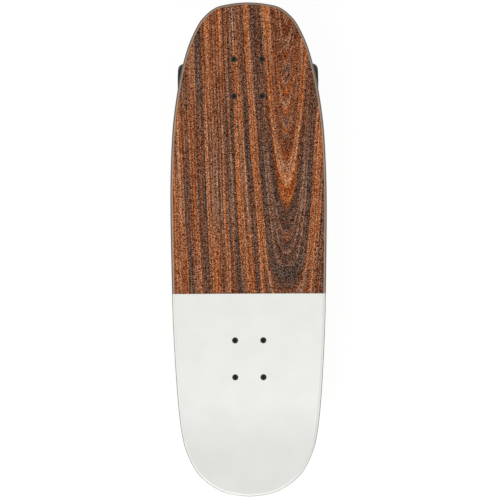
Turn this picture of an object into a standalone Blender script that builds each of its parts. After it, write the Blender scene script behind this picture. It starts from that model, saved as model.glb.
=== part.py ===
"""Cruiser skateboard, modelled as the pieces that it comes apart into.

Metres. +Z is up, +Y points to the nose and +X to the right of someone who looks at the nose.
The origin is on the floor, under the middle of the board.

A truck is drawn once, in a frame of its own that starts on the baseplate's face against the riser:
x runs along the axle, y towards the middle of the board and z away from the deck, to the floor.
The rear truck is the front one turned half round.
"""

import math

import bmesh
import bpy
from mathutils import Matrix, Vector

# Clearance left between two pieces that touch on the real board
GAP = 0.0003

# Deck
DECK_LENGTH = 0.718
DECK_WIDTH = 0.2285
DECK_THICKNESS = 0.011
EDGE_ROUND = 0.004
FLAT_HALF_WIDTH = 0.030
CONCAVE_RISE = 0.008
TAIL_KICK_LENGTH = 0.137
TAIL_KICK_BEND = 0.082
TAIL_KICK_ANGLE = math.radians(19)
NOSE_KICK_LENGTH = 0.064
NOSE_KICK_BEND = 0.050
NOSE_KICK_ANGLE = math.radians(9)

# Half outline, each point as the share of the deck's length back from that end's tip and the share of
# the half width there
NOSE_OUTLINE = [
    (0.00279, 0.222),
    (0.01086, 0.417),
    (0.03106, 0.573),
    (0.05543, 0.673),
    (0.09624, 0.780),
    (0.15738, 0.877),
    (0.23914, 0.956),
    (0.32047, 0.989),
]
TAIL_OUTLINE = [
    (0.00418, 0.232),
    (0.01198, 0.384),
    (0.02772, 0.546),
    (0.05097, 0.688),
    (0.08997, 0.812),
    (0.12981, 0.872),
    (0.19025, 0.916),
    (0.29220, 0.957),
    (0.39387, 0.981),
]
# Where the board is widest, as a share of the way from the last nose point to the last tail point
WIDEST_SHARE = 0.36

# Grip sheets
GRIP_THICKNESS = 0.0008
TAIL_SHEET_LENGTH = 0.2924

# Truck bolts, size 10-32
BOLT_SPACING_LONG = 0.05398
BOLT_SPACING_WIDE = 0.04128
BOLT_RADIUS = 0.0024
BOLT_LENGTH = 0.0286
BOLT_HEAD_RADIUS = 0.0043
BOLT_HEAD_RIM = 0.0004
BOLT_HEAD_HEIGHT = 0.0028
BOLT_HEAD_SINK = 0.0001
BOLT_SOCKET_RADIUS = 0.00185
BOLT_SOCKET_DEPTH = 0.0020

# Trucks and risers
NOSE_TO_FRONT_TRUCK = 0.110
TAIL_TO_REAR_TRUCK = 0.197
TRUCK_HEIGHT = 0.053
AXLE_OFFSET = 0.003
RISER_THICKNESS = 0.0032
BASEPLATE_LENGTH = 0.082
BASEPLATE_WIDTH = 0.056
BASEPLATE_FLANGE = 0.005
BASEPLATE_CORNER = 0.008
RISER_WINDOW_LENGTH = 0.030
RISER_WINDOW_WIDTH = 0.022

# Steering geometry, in the truck's frame: how far along it and how far below the deck
PIVOT_ALONG = -0.021
PIVOT_DROP = 0.011
RING_ALONG = 0.0165
RING_DROP = 0.0365
KINGPIN_LEAN = math.radians(20)
CUP_LEAN = math.radians(35)

# Kingpin and what is stacked on it
KINGPIN_RADIUS = 0.00476
KINGPIN_HEAD_RADIUS = 0.00825
KINGPIN_HEAD_HEIGHT = 0.0055
KINGPIN_HEAD_DEPTH = 0.010
KINGPIN_END_BEYOND_NUT = 0.001
BUSHING_RADIUS = 0.012
BUSHING_TIP_RADIUS = 0.0095
BUSHING_BARREL = 0.0006
BOARD_BUSHING_HEIGHT = 0.0135
ROAD_BUSHING_HEIGHT = 0.010
BOARD_WASHER_ROOM = 0.0015
WASHER_THICKNESS = 0.0015
WASHER_RIM_HEIGHT = 0.0016
WASHER_RIM_WALL = 0.0011
KINGPIN_NUT_HEIGHT = 0.0095
NUT_COLLAR_SHARE = 0.25
NUT_COLLAR_TAPER = 0.82
RING_THICKNESS = 0.005
RING_RADIUS = 0.0152
RING_SEAT_DEPTH = 0.0008
RING_HOLE_RADIUS = 0.0080
SEAT_FLARE = 0.003

# Pivot cup and the hanger's nose in it
NOSE_RADIUS = 0.0052
CUP_RADIUS = 0.0073
CUP_BOTTOM = 0.0013
CUP_RIM = 0.0020
CUP_BOSS_WALL = 0.0025
# The nose below its middle, each section as shares of its radius: how far down and how wide
NOSE_TIP = [(0.94, 0.30), (0.70, 0.70)]

# Shin of the hanger, which runs from the nose to the axle
SHIN_START = 0.009
SHIN_KNEE_ALONG = 0.011
SHIN_KNEE_DROP = 0.0175
SHIN_HIP_ALONG = 0.016
SHIN_HIP_DROP = 0.031
SHIN_START_RADIUS = 0.0062
SHIN_KNEE_RADIUS = 0.0075
SHIN_HIP_RADIUS = 0.0083
SHIN_END_RADIUS = 0.0068

# Hanger, axle and axle nuts
HANGER_WIDTH = 0.1397
HANGER_RADIUS = 0.0085
HANGER_WAIST_RADIUS = 0.0076
HANGER_HAUNCH_RADIUS = 0.0095
# Where the beam changes, as shares of its half width from the middle out
WAIST_SHARE = 0.12
HAUNCH_SHARE = 0.3
ARM_SHARE = 0.5
GUSSET_SHARE = 0.5
GUSSET_THICKNESS = 0.0044
GUSSET_INSET = 0.0006
AXLE_END_BEYOND_NUT = 0.00245
AXLE_RADIUS = 0.004
AXLE_CHAMFER = 0.0006
AXLE_NUT_RADIUS = 0.00733
AXLE_NUT_HEIGHT = 0.0065
SPEED_WASHER_ROOM = 0.001

# Wheels
WHEEL_RADIUS = 0.031
WHEEL_WIDTH = 0.044
WHEEL_LIP_RADIUS = 0.0085
WHEEL_DISH_RADIUS = 0.0185
WHEEL_STOP_RADIUS = 0.0095

# Bearings, size 608
BEARING_RADIUS = 0.011
BEARING_WIDTH = 0.007
BEARING_RING_WALL = 0.00095
BALL_COUNT = 7
BALL_RADIUS = 0.00198
BALL_PITCH_RADIUS = 0.0075
SHIELD_THICKNESS = 0.0005
SHIELD_HOLE_RADIUS = 0.0065
CAGE_WALL = 0.0011
CAGE_WIDTH = 0.0016
CAGE_SETBACK = 0.0016
SPACER_RADIUS = 0.0062
SPACER_LENGTH = 0.010

# Facets round a turned piece
WHEEL_FACETS = 24
ROUND_FACETS = 16
SMALL_FACETS = 12
HEX = 6

# Facets of the deck: rows from nose to tail, columns from rail to rail
DECK_ROWS = 34
DECK_COLUMNS = 10
CURVE_STEPS = 16
# How much closer the rows lie at the ends than in the middle, from 0 to 1
ROW_CROWDING = 0.55
# Share of the half outline's length that the first row lies away from the tip
TIP_ROW_SHARE = 0.044

# Places along the board that follow from the sizes above
FRONT_TRUCK_Y = DECK_LENGTH / 2 - NOSE_TO_FRONT_TRUCK
REAR_TRUCK_Y = TAIL_TO_REAR_TRUCK - DECK_LENGTH / 2
GRIP_SEAM_Y = TAIL_SHEET_LENGTH - DECK_LENGTH / 2

# Heights above the floor that follow from the sizes above
BASEPLATE_TOP_Z = WHEEL_RADIUS + TRUCK_HEIGHT
RISER_TOP_Z = BASEPLATE_TOP_Z + GAP + RISER_THICKNESS
DECK_TOP_Z = RISER_TOP_Z + GAP + DECK_THICKNESS
GRIP_TOP_Z = DECK_TOP_Z + GAP + GRIP_THICKNESS
BOLT_TOP_Z = GRIP_TOP_Z - BOLT_HEAD_SINK

# The kingpin stack, as distances from the baseplate's seat along the kingpin
BOARD_BUSHING_START = BOARD_WASHER_ROOM + 2 * GAP
RING_START = BOARD_BUSHING_START + BOARD_BUSHING_HEIGHT + GAP
RING_END = RING_START + RING_THICKNESS
ROAD_BUSHING_START = RING_END + GAP
ROAD_WASHER_START = ROAD_BUSHING_START + ROAD_BUSHING_HEIGHT + GAP
KINGPIN_NUT_START = ROAD_WASHER_START + WASHER_THICKNESS + GAP
KINGPIN_END = KINGPIN_NUT_START + KINGPIN_NUT_HEIGHT + KINGPIN_END_BEYOND_NUT

# Directions and points of a truck, in its own frame
PIVOT_CENTRE = Vector((0, PIVOT_ALONG, PIVOT_DROP))
RING_CENTRE = Vector((0, RING_ALONG, RING_DROP))
KINGPIN_DIRECTION = Vector((0, math.sin(KINGPIN_LEAN), math.cos(KINGPIN_LEAN)))
KINGPIN_SEAT = RING_CENTRE - KINGPIN_DIRECTION * (RING_START + RING_THICKNESS / 2)
CUP_DIRECTION = Vector((0, math.sin(CUP_LEAN), math.cos(CUP_LEAN)))
AXLE_CENTRE = Vector((0, AXLE_OFFSET, TRUCK_HEIGHT))
CORE_LENGTH = 2 * BEARING_WIDTH + SPACER_LENGTH
WHEEL_CENTRE_X = HANGER_WIDTH / 2 + SPEED_WASHER_ROOM + CORE_LENGTH / 2
AXLE_NUT_X = WHEEL_CENTRE_X + CORE_LENGTH / 2 + SPEED_WASHER_ROOM
AXLE_LENGTH = 2 * (AXLE_NUT_X + AXLE_NUT_HEIGHT + AXLE_END_BEYOND_NUT)


def clear_scene():
    for obj in list(bpy.data.objects):
        bpy.data.objects.remove(obj)


def material(name, colour, roughness, metallic=0.0):
    made = bpy.data.materials.new(name)
    made.use_nodes = True
    shader = made.node_tree.nodes["Principled BSDF"]
    shader.inputs["Base Color"].default_value = (*colour, 1)
    shader.inputs["Roughness"].default_value = roughness
    shader.inputs["Metallic"].default_value = metallic
    return made


def mesh_from(bm, name):
    """A mesh datablock with its faces pointing outwards."""
    bmesh.ops.recalc_face_normals(bm, faces=bm.faces)
    mesh = bpy.data.meshes.new(name)
    bm.to_mesh(mesh)
    bm.free()
    return mesh


def temporary(mesh):
    """An object to work on, which boolean() removes again."""
    obj = bpy.data.objects.new("work", mesh)
    bpy.context.scene.collection.objects.link(obj)
    return obj


def boolean(base, operation, *others):
    """The base mesh, the other meshes added to it or cut from it one after the other."""
    body = temporary(base)
    tools = [temporary(other) for other in others]
    for tool in tools:
        modifier = body.modifiers.new("Boolean", "BOOLEAN")
        modifier.operation = operation
        modifier.object = tool
    graph = bpy.context.evaluated_depsgraph_get()
    made = bpy.data.meshes.new_from_object(body.evaluated_get(graph))
    for obj in (body, *tools):
        bpy.data.objects.remove(obj)
    return made


def shifted(mesh, offset):
    mesh.transform(Matrix.Translation(offset))
    return mesh


def facing(direction, at=(0, 0, 0)):
    """A matrix that lays a shape drawn along +Z along the direction, with its x kept in line with X."""
    z_axis = Vector(direction).normalized()
    x_axis = Vector((1, 0, 0))
    y_axis = z_axis.cross(x_axis).normalized()
    turn = Matrix((x_axis, y_axis, z_axis)).transposed().to_4x4()
    return Matrix.Translation(at) @ turn


# Lays a shape drawn along +Z along the axle
ALONG_AXLE = Matrix.Rotation(math.radians(90), 4, "Y")


def turned(profile, facets, matrix=None, half_step=False):
    """A solid of revolution about Z from (radius, height) points. A point at radius 0 closes an end."""
    bm = bmesh.new()
    points = [bm.verts.new((radius, 0, height)) for radius, height in profile]
    ends_on_axis = profile[0][0] == 0 and profile[-1][0] == 0
    pairs = list(zip(points, points[1:]))
    if not ends_on_axis:
        pairs.append((points[-1], points[0]))
    edges = [bm.edges.new(pair) for pair in pairs]
    bmesh.ops.spin(
        bm,
        geom=points + edges,
        axis=(0, 0, 1),
        cent=(0, 0, 0),
        angle=math.tau,
        steps=facets,
        use_merge=True,
    )
    bmesh.ops.remove_doubles(bm, verts=bm.verts, dist=1e-6)
    bmesh.ops.dissolve_degenerate(bm, edges=bm.edges, dist=1e-7)
    bm.normal_update()
    flat_ends = [
        v
        for v in bm.verts
        if v.co.xy.length < 1e-6 and all(abs(f.normal.z) > 0.9999 for f in v.link_faces)
    ]
    bmesh.ops.dissolve_verts(bm, verts=flat_ends)
    if half_step:
        turn = Matrix.Rotation(math.pi / facets, 3, "Z")
        bmesh.ops.rotate(bm, verts=bm.verts, cent=(0, 0, 0), matrix=turn)
    mesh = mesh_from(bm, "turned")
    if matrix is not None:
        mesh.transform(matrix)
    return mesh


def rod(radius, start, end, facets, matrix=None):
    return turned([(0, start), (radius, start), (radius, end), (0, end)], facets, matrix)


def box(low, high):
    bm = bmesh.new()
    bmesh.ops.create_cube(bm, size=1)
    low = Vector(low)
    high = Vector(high)
    size = high - low
    bmesh.ops.scale(bm, vec=size, verts=bm.verts)
    bmesh.ops.translate(bm, vec=(low + high) / 2, verts=bm.verts)
    return mesh_from(bm, "box")


def plate(length, width, start, end, corner):
    """A flat plate with rounded corners, its length along Y, from one height to another."""
    bm = bmesh.new()
    bmesh.ops.create_cube(bm, size=1)
    bmesh.ops.scale(bm, vec=(width, length, end - start), verts=bm.verts)
    bmesh.ops.translate(bm, vec=(0, 0, (start + end) / 2), verts=bm.verts)
    upright = [e for e in bm.edges if abs(e.verts[0].co.z - e.verts[1].co.z) > (end - start) / 2]
    bmesh.ops.bevel(bm, geom=upright, offset=corner, segments=3, affect="EDGES", profile=0.5)
    return mesh_from(bm, "plate")


def hull(points):
    """The smallest convex solid around the points."""
    bm = bmesh.new()
    for point in points:
        bm.verts.new(point)
    bmesh.ops.convex_hull(bm, input=bm.verts)
    return mesh_from(bm, "hull")


def loft(sections, facets):
    """A solid through round sections, each a centre, the direction it faces and its radius."""
    bm = bmesh.new()
    rings = []
    for centre, direction, radius in sections:
        ring = bmesh.ops.create_circle(bm, cap_ends=False, radius=radius, segments=facets)
        bmesh.ops.transform(bm, matrix=facing(direction, centre), verts=ring["verts"])
        rings.append(ring["verts"])
    for ring, following in zip(rings, rings[1:]):
        for i in range(facets):
            j = (i + 1) % facets
            bm.faces.new((ring[i], ring[j], following[j], following[i]))
    bm.faces.new(rings[0])
    bm.faces.new(rings[-1])
    return mesh_from(bm, "loft")


def catmull_rom(points, steps):
    """A smooth curve through the points. The first and last only steer it."""
    curve = []
    for before, start, end, after in zip(points, points[1:], points[2:], points[3:]):
        for step in range(steps):
            t = step / steps
            curve.append(
                0.5
                * (
                    2 * start
                    + (end - before) * t
                    + (2 * before - 5 * start + 4 * end - after) * t**2
                    + (3 * start - before - 3 * end + after) * t**3
                )
            )
    curve.append(points[-2].copy())
    return curve


def half_outline():
    """The board's right edge, seen from above, from the nose tip to the tail tip."""
    half_length = DECK_LENGTH / 2
    half_width = DECK_WIDTH / 2
    nose = [
        Vector((share * half_width, half_length - back * DECK_LENGTH)) for back, share in NOSE_OUTLINE
    ]
    tail = [
        Vector((share * half_width, back * DECK_LENGTH - half_length)) for back, share in TAIL_OUTLINE
    ]
    tail.reverse()
    widest_y = nose[-1].y + (tail[0].y - nose[-1].y) * WIDEST_SHARE
    points = [Vector((0, half_length)), *nose, Vector((half_width, widest_y))]
    points += [*tail, Vector((0, -half_length))]
    mirrored_start = Vector((-points[1].x, points[1].y))
    mirrored_end = Vector((-points[-2].x, points[-2].y))
    return catmull_rom([mirrored_start, *points, mirrored_end], CURVE_STEPS)


class Outline:
    """The right edge measured along its length, with its outward direction."""

    def __init__(self):
        self.points = half_outline()
        self.lengths = [0.0]
        for start, end in zip(self.points, self.points[1:]):
            self.lengths.append(self.lengths[-1] + (end - start).length)
        self.total = self.lengths[-1]

    def at(self, length, inset):
        """The point that far along the edge, moved in from it. Before 0 or past the end is the left side."""
        side = 1
        if length < 0:
            side = -1
            length = -length
        elif length > self.total:
            side = -1
            length = 2 * self.total - length
        i = 1
        while i < len(self.lengths) - 1 and self.lengths[i] < length:
            i += 1
        start = self.points[i - 1]
        end = self.points[i]
        share = (length - self.lengths[i - 1]) / (self.lengths[i] - self.lengths[i - 1])
        point = start.lerp(end, share)
        heading = self.heading(i - 1).lerp(self.heading(i), share).normalized()
        outward = Vector((-heading.y, heading.x))
        point = point - outward * inset
        return Vector((side * point.x, point.y))

    def heading(self, i):
        """The edge's direction at a point of the curve, square to the board's length at both tips."""
        if i == 0:
            return Vector((1, 0))
        if i == len(self.points) - 1:
            return Vector((-1, 0))
        return (self.points[i + 1] - self.points[i - 1]).normalized()


def plan_grid(outline, inset):
    """Rows of points seen from above, inside the outline by the inset, the end rows bowed with the tips."""
    tip = outline.total * TIP_ROW_SHARE
    rows = []
    for i in range(DECK_ROWS + 1):
        share = i / DECK_ROWS
        share -= ROW_CROWDING * math.sin(math.tau * share) / math.tau
        length = tip + (outline.total - 2 * tip) * share
        edge = outline.at(length, inset)
        row = []
        for j in range(DECK_COLUMNS + 1):
            across = 2 * j / DECK_COLUMNS - 1
            if i == 0:
                row.append(outline.at(across * tip, inset))
            elif i == DECK_ROWS:
                row.append(outline.at(outline.total - across * tip, inset))
            else:
                row.append(Vector((across * edge.x, edge.y)))
        rows.append(row)
    return rows


def bend(distance, length, angle):
    """Height and slope at a distance along an upturned end that bends over the length and then runs straight."""
    if distance <= 0:
        return 0.0, 0.0
    slope = math.tan(angle)
    if distance < length:
        return slope * distance**2 / (2 * length), slope * distance / length
    return slope * (distance - length / 2), slope


def deck_rise(x, y):
    """How far the deck's top lies above its flat middle there, and the slope along the board."""
    half_length = DECK_LENGTH / 2
    tail, tail_slope = bend(
        TAIL_KICK_LENGTH - half_length - y, TAIL_KICK_BEND, TAIL_KICK_ANGLE
    )
    nose, nose_slope = bend(
        y - half_length + NOSE_KICK_LENGTH, NOSE_KICK_BEND, NOSE_KICK_ANGLE
    )
    out = max(0.0, abs(x) - FLAT_HALF_WIDTH) / (DECK_WIDTH / 2 - FLAT_HALF_WIDTH)
    return tail + nose + CONCAVE_RISE * out**1.5, tail_slope + nose_slope


def deck_point(plan, depth):
    """A point that far below the deck's top, measured square to it along the board."""
    rise, slope = deck_rise(plan.x, plan.y)
    return Vector((plan.x, plan.y, DECK_TOP_Z + rise - depth * math.hypot(1, slope)))


def border(rows):
    """The points round a grid, in order."""
    right = [row[-1] for row in rows]
    left = [row[0] for row in rows]
    return rows[0][:-1] + right[:-1] + rows[-1][:0:-1] + left[:0:-1]


def sheet(layers):
    """A closed solid from layers of (rows, depth), the first its top and the last its underside."""
    bm = bmesh.new()
    loops = []
    for number, (rows, depth) in enumerate(layers):
        if number in (0, len(layers) - 1):
            grid = [[bm.verts.new(deck_point(plan, depth)) for plan in row] for row in rows]
            for row, following in zip(grid, grid[1:]):
                for j in range(len(row) - 1):
                    bm.faces.new((row[j], row[j + 1], following[j + 1], following[j]))
            loops.append(border(grid))
        else:
            loops.append([bm.verts.new(deck_point(plan, depth)) for plan in border(rows)])
    for loop, following in zip(loops, loops[1:]):
        for i in range(len(loop)):
            j = (i + 1) % len(loop)
            bm.faces.new((loop[i], loop[j], following[j], following[i]))
    bmesh.ops.triangulate(bm, faces=bm.faces, quad_method="FIXED")
    return mesh_from(bm, "sheet")


def bolt_places(truck_y):
    for side_y in (1, -1):
        for side_x in (-1, 1):
            yield side_x * BOLT_SPACING_WIDE / 2, truck_y + side_y * BOLT_SPACING_LONG / 2


def bolt_hole(x, y):
    """What a bolt and its countersunk head need, with the gap round them."""
    rim = -BOLT_HEAD_RIM
    cone = -BOLT_HEAD_HEIGHT
    wide = BOLT_HEAD_RADIUS + GAP
    narrow = BOLT_RADIUS + GAP
    profile = [(0, GRIP_THICKNESS), (wide, GRIP_THICKNESS), (wide, rim - GAP / 2)]
    profile += [(narrow, cone - GAP / 2), (narrow, -BOLT_LENGTH), (0, -BOLT_LENGTH)]
    return turned(profile, SMALL_FACETS, Matrix.Translation((x, y, BOLT_TOP_Z)))


def deck_mesh(outline):
    """Seven plies glued and pressed: flat middle, raised rails, kicked tail and rounded edge."""
    shoulder = EDGE_ROUND * (1 - math.sqrt(0.5))
    full = plan_grid(outline, EDGE_ROUND)
    near = plan_grid(outline, shoulder)
    edge = plan_grid(outline, 0)
    layers = [
        (full, 0),
        (near, shoulder),
        (edge, EDGE_ROUND),
        (edge, DECK_THICKNESS - EDGE_ROUND),
        (near, DECK_THICKNESS - shoulder),
        (full, DECK_THICKNESS),
    ]
    holes = [bolt_hole(*place) for y in (FRONT_TRUCK_Y, REAR_TRUCK_Y) for place in bolt_places(y)]
    return boolean(sheet(layers), "DIFFERENCE", *holes)


def grip_mesh(outline, start_y, end_y):
    """The part of the grip sheet between two places along the board, cut to the flat of the deck's top."""
    all_rows = plan_grid(outline, EDGE_ROUND)
    rows = [row for row in all_rows if start_y < row[0].y < end_y]
    for cut_y, place_in_rows in ((end_y, 0), (start_y, len(rows))):
        if abs(cut_y) < DECK_LENGTH / 2:
            rows.insert(place_in_rows, row_at(all_rows, cut_y))
    return sheet([(rows, -GAP - GRIP_THICKNESS), (rows, -GAP)])


def row_at(rows, y):
    """The row that crosses the board at y, between two rows of a grid."""
    for row, following in zip(rows, rows[1:]):
        if following[0].y <= y <= row[0].y:
            share = (row[0].y - y) / (row[0].y - following[0].y)
            return [a.lerp(b, share) for a, b in zip(row, following)]
    return None


def grip_holes(truck_y):
    for x, y in bolt_places(truck_y):
        depth = GRIP_THICKNESS * 3
        at = Matrix.Translation((x, y, GRIP_TOP_Z))
        yield rod(BOLT_HEAD_RADIUS + GAP, -depth, depth, SMALL_FACETS, at)


def bolt_mesh():
    """A countersunk truck bolt, hanging down from the middle of its head, with a hex socket."""
    head = BOLT_HEAD_RADIUS
    profile = [(0, 0), (head, 0), (head, -BOLT_HEAD_RIM), (BOLT_RADIUS, -BOLT_HEAD_HEIGHT)]
    profile += [(BOLT_RADIUS, -BOLT_LENGTH), (0, -BOLT_LENGTH)]
    socket = rod(BOLT_SOCKET_RADIUS, -BOLT_SOCKET_DEPTH, BOLT_SOCKET_DEPTH, HEX)
    return boolean(turned(profile, SMALL_FACETS), "DIFFERENCE", socket)


def truck_bolt_holes(start, end):
    for x, y in bolt_places(0):
        yield rod(BOLT_RADIUS + GAP, start, end, SMALL_FACETS, Matrix.Translation((x, y, 0)))


def riser_mesh():
    """The pad between deck and baseplate, with a window over the kingpin's head."""
    start = -GAP - RISER_THICKNESS
    body = plate(BASEPLATE_LENGTH, BASEPLATE_WIDTH, start, -GAP, BASEPLATE_CORNER)
    deep = RISER_THICKNESS
    window = plate(
        RISER_WINDOW_LENGTH, RISER_WINDOW_WIDTH, start - deep, deep, RISER_WINDOW_WIDTH / 4
    )
    holes = truck_bolt_holes(start - deep, deep)
    return boolean(body, "DIFFERENCE", window, *holes)


def baseplate_mesh():
    """The cast plate: flange, kingpin seat, pivot boss and the rib between them."""
    body = plate(BASEPLATE_LENGTH, BASEPLATE_WIDTH, 0, BASEPLATE_FLANGE, BASEPLATE_CORNER)
    kingpin_frame = facing(KINGPIN_DIRECTION, KINGPIN_SEAT)
    cup_frame = facing(CUP_DIRECTION, PIVOT_CENTRE)
    reach = KINGPIN_SEAT.z / math.cos(KINGPIN_LEAN)
    seat_radius = BUSHING_RADIUS + WASHER_RIM_WALL
    seat = turned(
        [(0, -reach), (seat_radius + SEAT_FLARE, -reach), (seat_radius, 0), (0, 0)],
        ROUND_FACETS,
        kingpin_frame,
    )
    cup_depth = NOSE_RADIUS + GAP + CUP_BOTTOM
    boss_radius = CUP_RADIUS + GAP + CUP_BOSS_WALL
    boss = rod(boss_radius, -cup_depth - CUP_BOSS_WALL, CUP_RIM, ROUND_FACETS, cup_frame)
    rib_foot = BASEPLATE_FLANGE / 4
    rib_start = PIVOT_DROP - BASEPLATE_FLANGE + GAP
    seat_foot_y = KINGPIN_SEAT.y - reach * math.sin(KINGPIN_LEAN)
    rib = hull(
        [
            (side * CUP_RADIUS, y, z)
            for side in (-1, 1)
            for y, z in (
                (PIVOT_ALONG - CUP_RADIUS, rib_foot),
                (PIVOT_ALONG, rib_start),
                (seat_foot_y, PIVOT_DROP),
                (seat_foot_y, rib_foot),
            )
        ]
    )
    body = boolean(body, "UNION", seat, boss, rib)
    head_start = -KINGPIN_HEAD_DEPTH - KINGPIN_HEAD_HEIGHT
    pocket = rod(
        KINGPIN_HEAD_RADIUS + 2 * GAP,
        head_start - reach,
        -KINGPIN_HEAD_DEPTH + GAP,
        HEX,
        kingpin_frame,
    )
    bore = rod(KINGPIN_RADIUS + GAP, -reach, reach, ROUND_FACETS, kingpin_frame)
    cup_hole = rod(CUP_RADIUS + GAP, -cup_depth - GAP, reach, ROUND_FACETS, cup_frame)
    under = box(
        (-BASEPLATE_WIDTH, -BASEPLATE_LENGTH, -BASEPLATE_LENGTH),
        (BASEPLATE_WIDTH, BASEPLATE_LENGTH, 0),
    )
    holes = truck_bolt_holes(-BASEPLATE_FLANGE, 2 * BASEPLATE_FLANGE)
    return boolean(body, "DIFFERENCE", under, pocket, bore, cup_hole, *holes)


def pivot_cup_mesh():
    """The urethane cup that the hanger's nose turns in."""
    bottom = NOSE_RADIUS + 2 * GAP
    corner = bottom * math.sqrt(0.5)
    profile = [
        (0, -NOSE_RADIUS - GAP - CUP_BOTTOM),
        (CUP_RADIUS, -NOSE_RADIUS - GAP - CUP_BOTTOM),
        (CUP_RADIUS, CUP_RIM),
        (bottom + 2 * GAP, CUP_RIM),
        (bottom, 0),
        (corner, -corner),
        (0, -bottom),
    ]
    return turned(profile, ROUND_FACETS, facing(CUP_DIRECTION, PIVOT_CENTRE))


def on_kingpin(mesh):
    mesh.transform(facing(KINGPIN_DIRECTION, KINGPIN_SEAT))
    return mesh


def kingpin_mesh():
    """Hex headed bolt, its head in the baseplate's pocket."""
    head_start = -KINGPIN_HEAD_DEPTH - KINGPIN_HEAD_HEIGHT
    shank_start = -KINGPIN_HEAD_DEPTH - KINGPIN_HEAD_HEIGHT / 2
    shank = rod(KINGPIN_RADIUS, shank_start, KINGPIN_END, ROUND_FACETS)
    head = rod(KINGPIN_HEAD_RADIUS, head_start, -KINGPIN_HEAD_DEPTH, HEX)
    return on_kingpin(boolean(shank, "UNION", head))


def nut_mesh(radius, bore, start, height):
    """A hex lock nut with its collar, drawn along +Z."""
    profile = [
        (0, start),
        (radius, start),
        (radius, start + height * (1 - NUT_COLLAR_SHARE)),
        (radius * NUT_COLLAR_TAPER, start + height),
        (0, start + height),
    ]
    hole = rod(bore, start - height, start + 2 * height, SMALL_FACETS)
    return boolean(turned(profile, HEX), "DIFFERENCE", hole)


def bushing_mesh(start, height, end_radius, barrel):
    """A urethane bushing, which bulges by the barrel and narrows to the end radius."""
    bore = KINGPIN_RADIUS + GAP
    middle = (BUSHING_RADIUS + end_radius) / 2 + barrel
    profile = [
        (bore, start),
        (BUSHING_RADIUS, start),
        (middle, start + height / 2),
        (end_radius, start + height),
        (bore, start + height),
    ]
    return on_kingpin(turned(profile, ROUND_FACETS))


def road_washer_mesh():
    """The cupped washer that holds the tip of the road side bushing."""
    inside = BUSHING_TIP_RADIUS + GAP
    outside = inside + WASHER_RIM_WALL
    start = ROAD_WASHER_START
    profile = [
        (KINGPIN_RADIUS + GAP, start),
        (inside, start),
        (inside + GAP, start - WASHER_RIM_HEIGHT),
        (outside, start - WASHER_RIM_HEIGHT),
        (outside, start + WASHER_THICKNESS),
        (KINGPIN_RADIUS + GAP, start + WASHER_THICKNESS),
    ]
    return on_kingpin(turned(profile, ROUND_FACETS))


def hanger_mesh():
    """The cast hanger: beam round the axle, ring between the bushings, nose in the pivot cup."""
    shin_start = PIVOT_CENTRE + CUP_DIRECTION * SHIN_START
    shin_knee = PIVOT_CENTRE + Vector((0, SHIN_KNEE_ALONG, SHIN_KNEE_DROP))
    shin_hip = PIVOT_CENTRE + Vector((0, SHIN_HIP_ALONG, SHIN_HIP_DROP))
    nose_tip = [
        (PIVOT_CENTRE - CUP_DIRECTION * NOSE_RADIUS * down, CUP_DIRECTION, NOSE_RADIUS * wide)
        for down, wide in NOSE_TIP
    ]
    shin = loft(
        [
            *nose_tip,
            (PIVOT_CENTRE, CUP_DIRECTION, NOSE_RADIUS),
            (shin_start, CUP_DIRECTION, SHIN_START_RADIUS),
            (shin_knee, shin_hip - shin_start, SHIN_KNEE_RADIUS),
            (shin_hip, AXLE_CENTRE - shin_knee, SHIN_HIP_RADIUS),
            (AXLE_CENTRE, AXLE_CENTRE - shin_hip, SHIN_END_RADIUS),
        ],
        ROUND_FACETS,
    )
    kingpin_frame = facing(KINGPIN_DIRECTION, KINGPIN_SEAT)
    ring_low = RING_START - RING_SEAT_DEPTH
    ring_high = RING_END + RING_SEAT_DEPTH
    ring = rod(RING_RADIUS, ring_low, ring_high, ROUND_FACETS, kingpin_frame)
    body = boolean(beam_mesh(), "UNION", shin, hull(list(gusset_points())), ring)
    far = AXLE_LENGTH
    room = BUSHING_RADIUS + WASHER_RIM_WALL + 3 * GAP
    board_room = rod(room, -RING_END, RING_START, ROUND_FACETS, kingpin_frame)
    nut_room = BUSHING_TIP_RADIUS + WASHER_RIM_WALL + 3 * GAP
    road_room = turned(
        [
            (0, RING_END),
            (room - 2 * GAP, RING_END),
            (nut_room, ROAD_WASHER_START - WASHER_RIM_HEIGHT),
            (nut_room + 2 * GAP, KINGPIN_END),
            (nut_room + 2 * GAP, far),
            (0, far),
        ],
        ROUND_FACETS,
        kingpin_frame,
    )
    bore = rod(RING_HOLE_RADIUS, 0, KINGPIN_END, ROUND_FACETS, kingpin_frame)
    axle_hole = rod(AXLE_RADIUS + GAP, -far, far, SMALL_FACETS, ALONG_AXLE)
    return boolean(
        body, "DIFFERENCE", board_room, road_room, bore, shifted(axle_hole, AXLE_CENTRE)
    )


def beam_mesh():
    """The beam round the axle, waisted where it passes the kingpin nut."""
    half = HANGER_WIDTH / 2
    right = [
        (HANGER_WAIST_RADIUS, half * WAIST_SHARE),
        (HANGER_HAUNCH_RADIUS, half * HAUNCH_SHARE),
        (HANGER_RADIUS, half * ARM_SHARE),
        (HANGER_RADIUS, half),
        (0, half),
    ]
    left = [(radius, -x) for radius, x in reversed(right)]
    return shifted(turned(left + right, SMALL_FACETS, ALONG_AXLE), AXLE_CENTRE)


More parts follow.
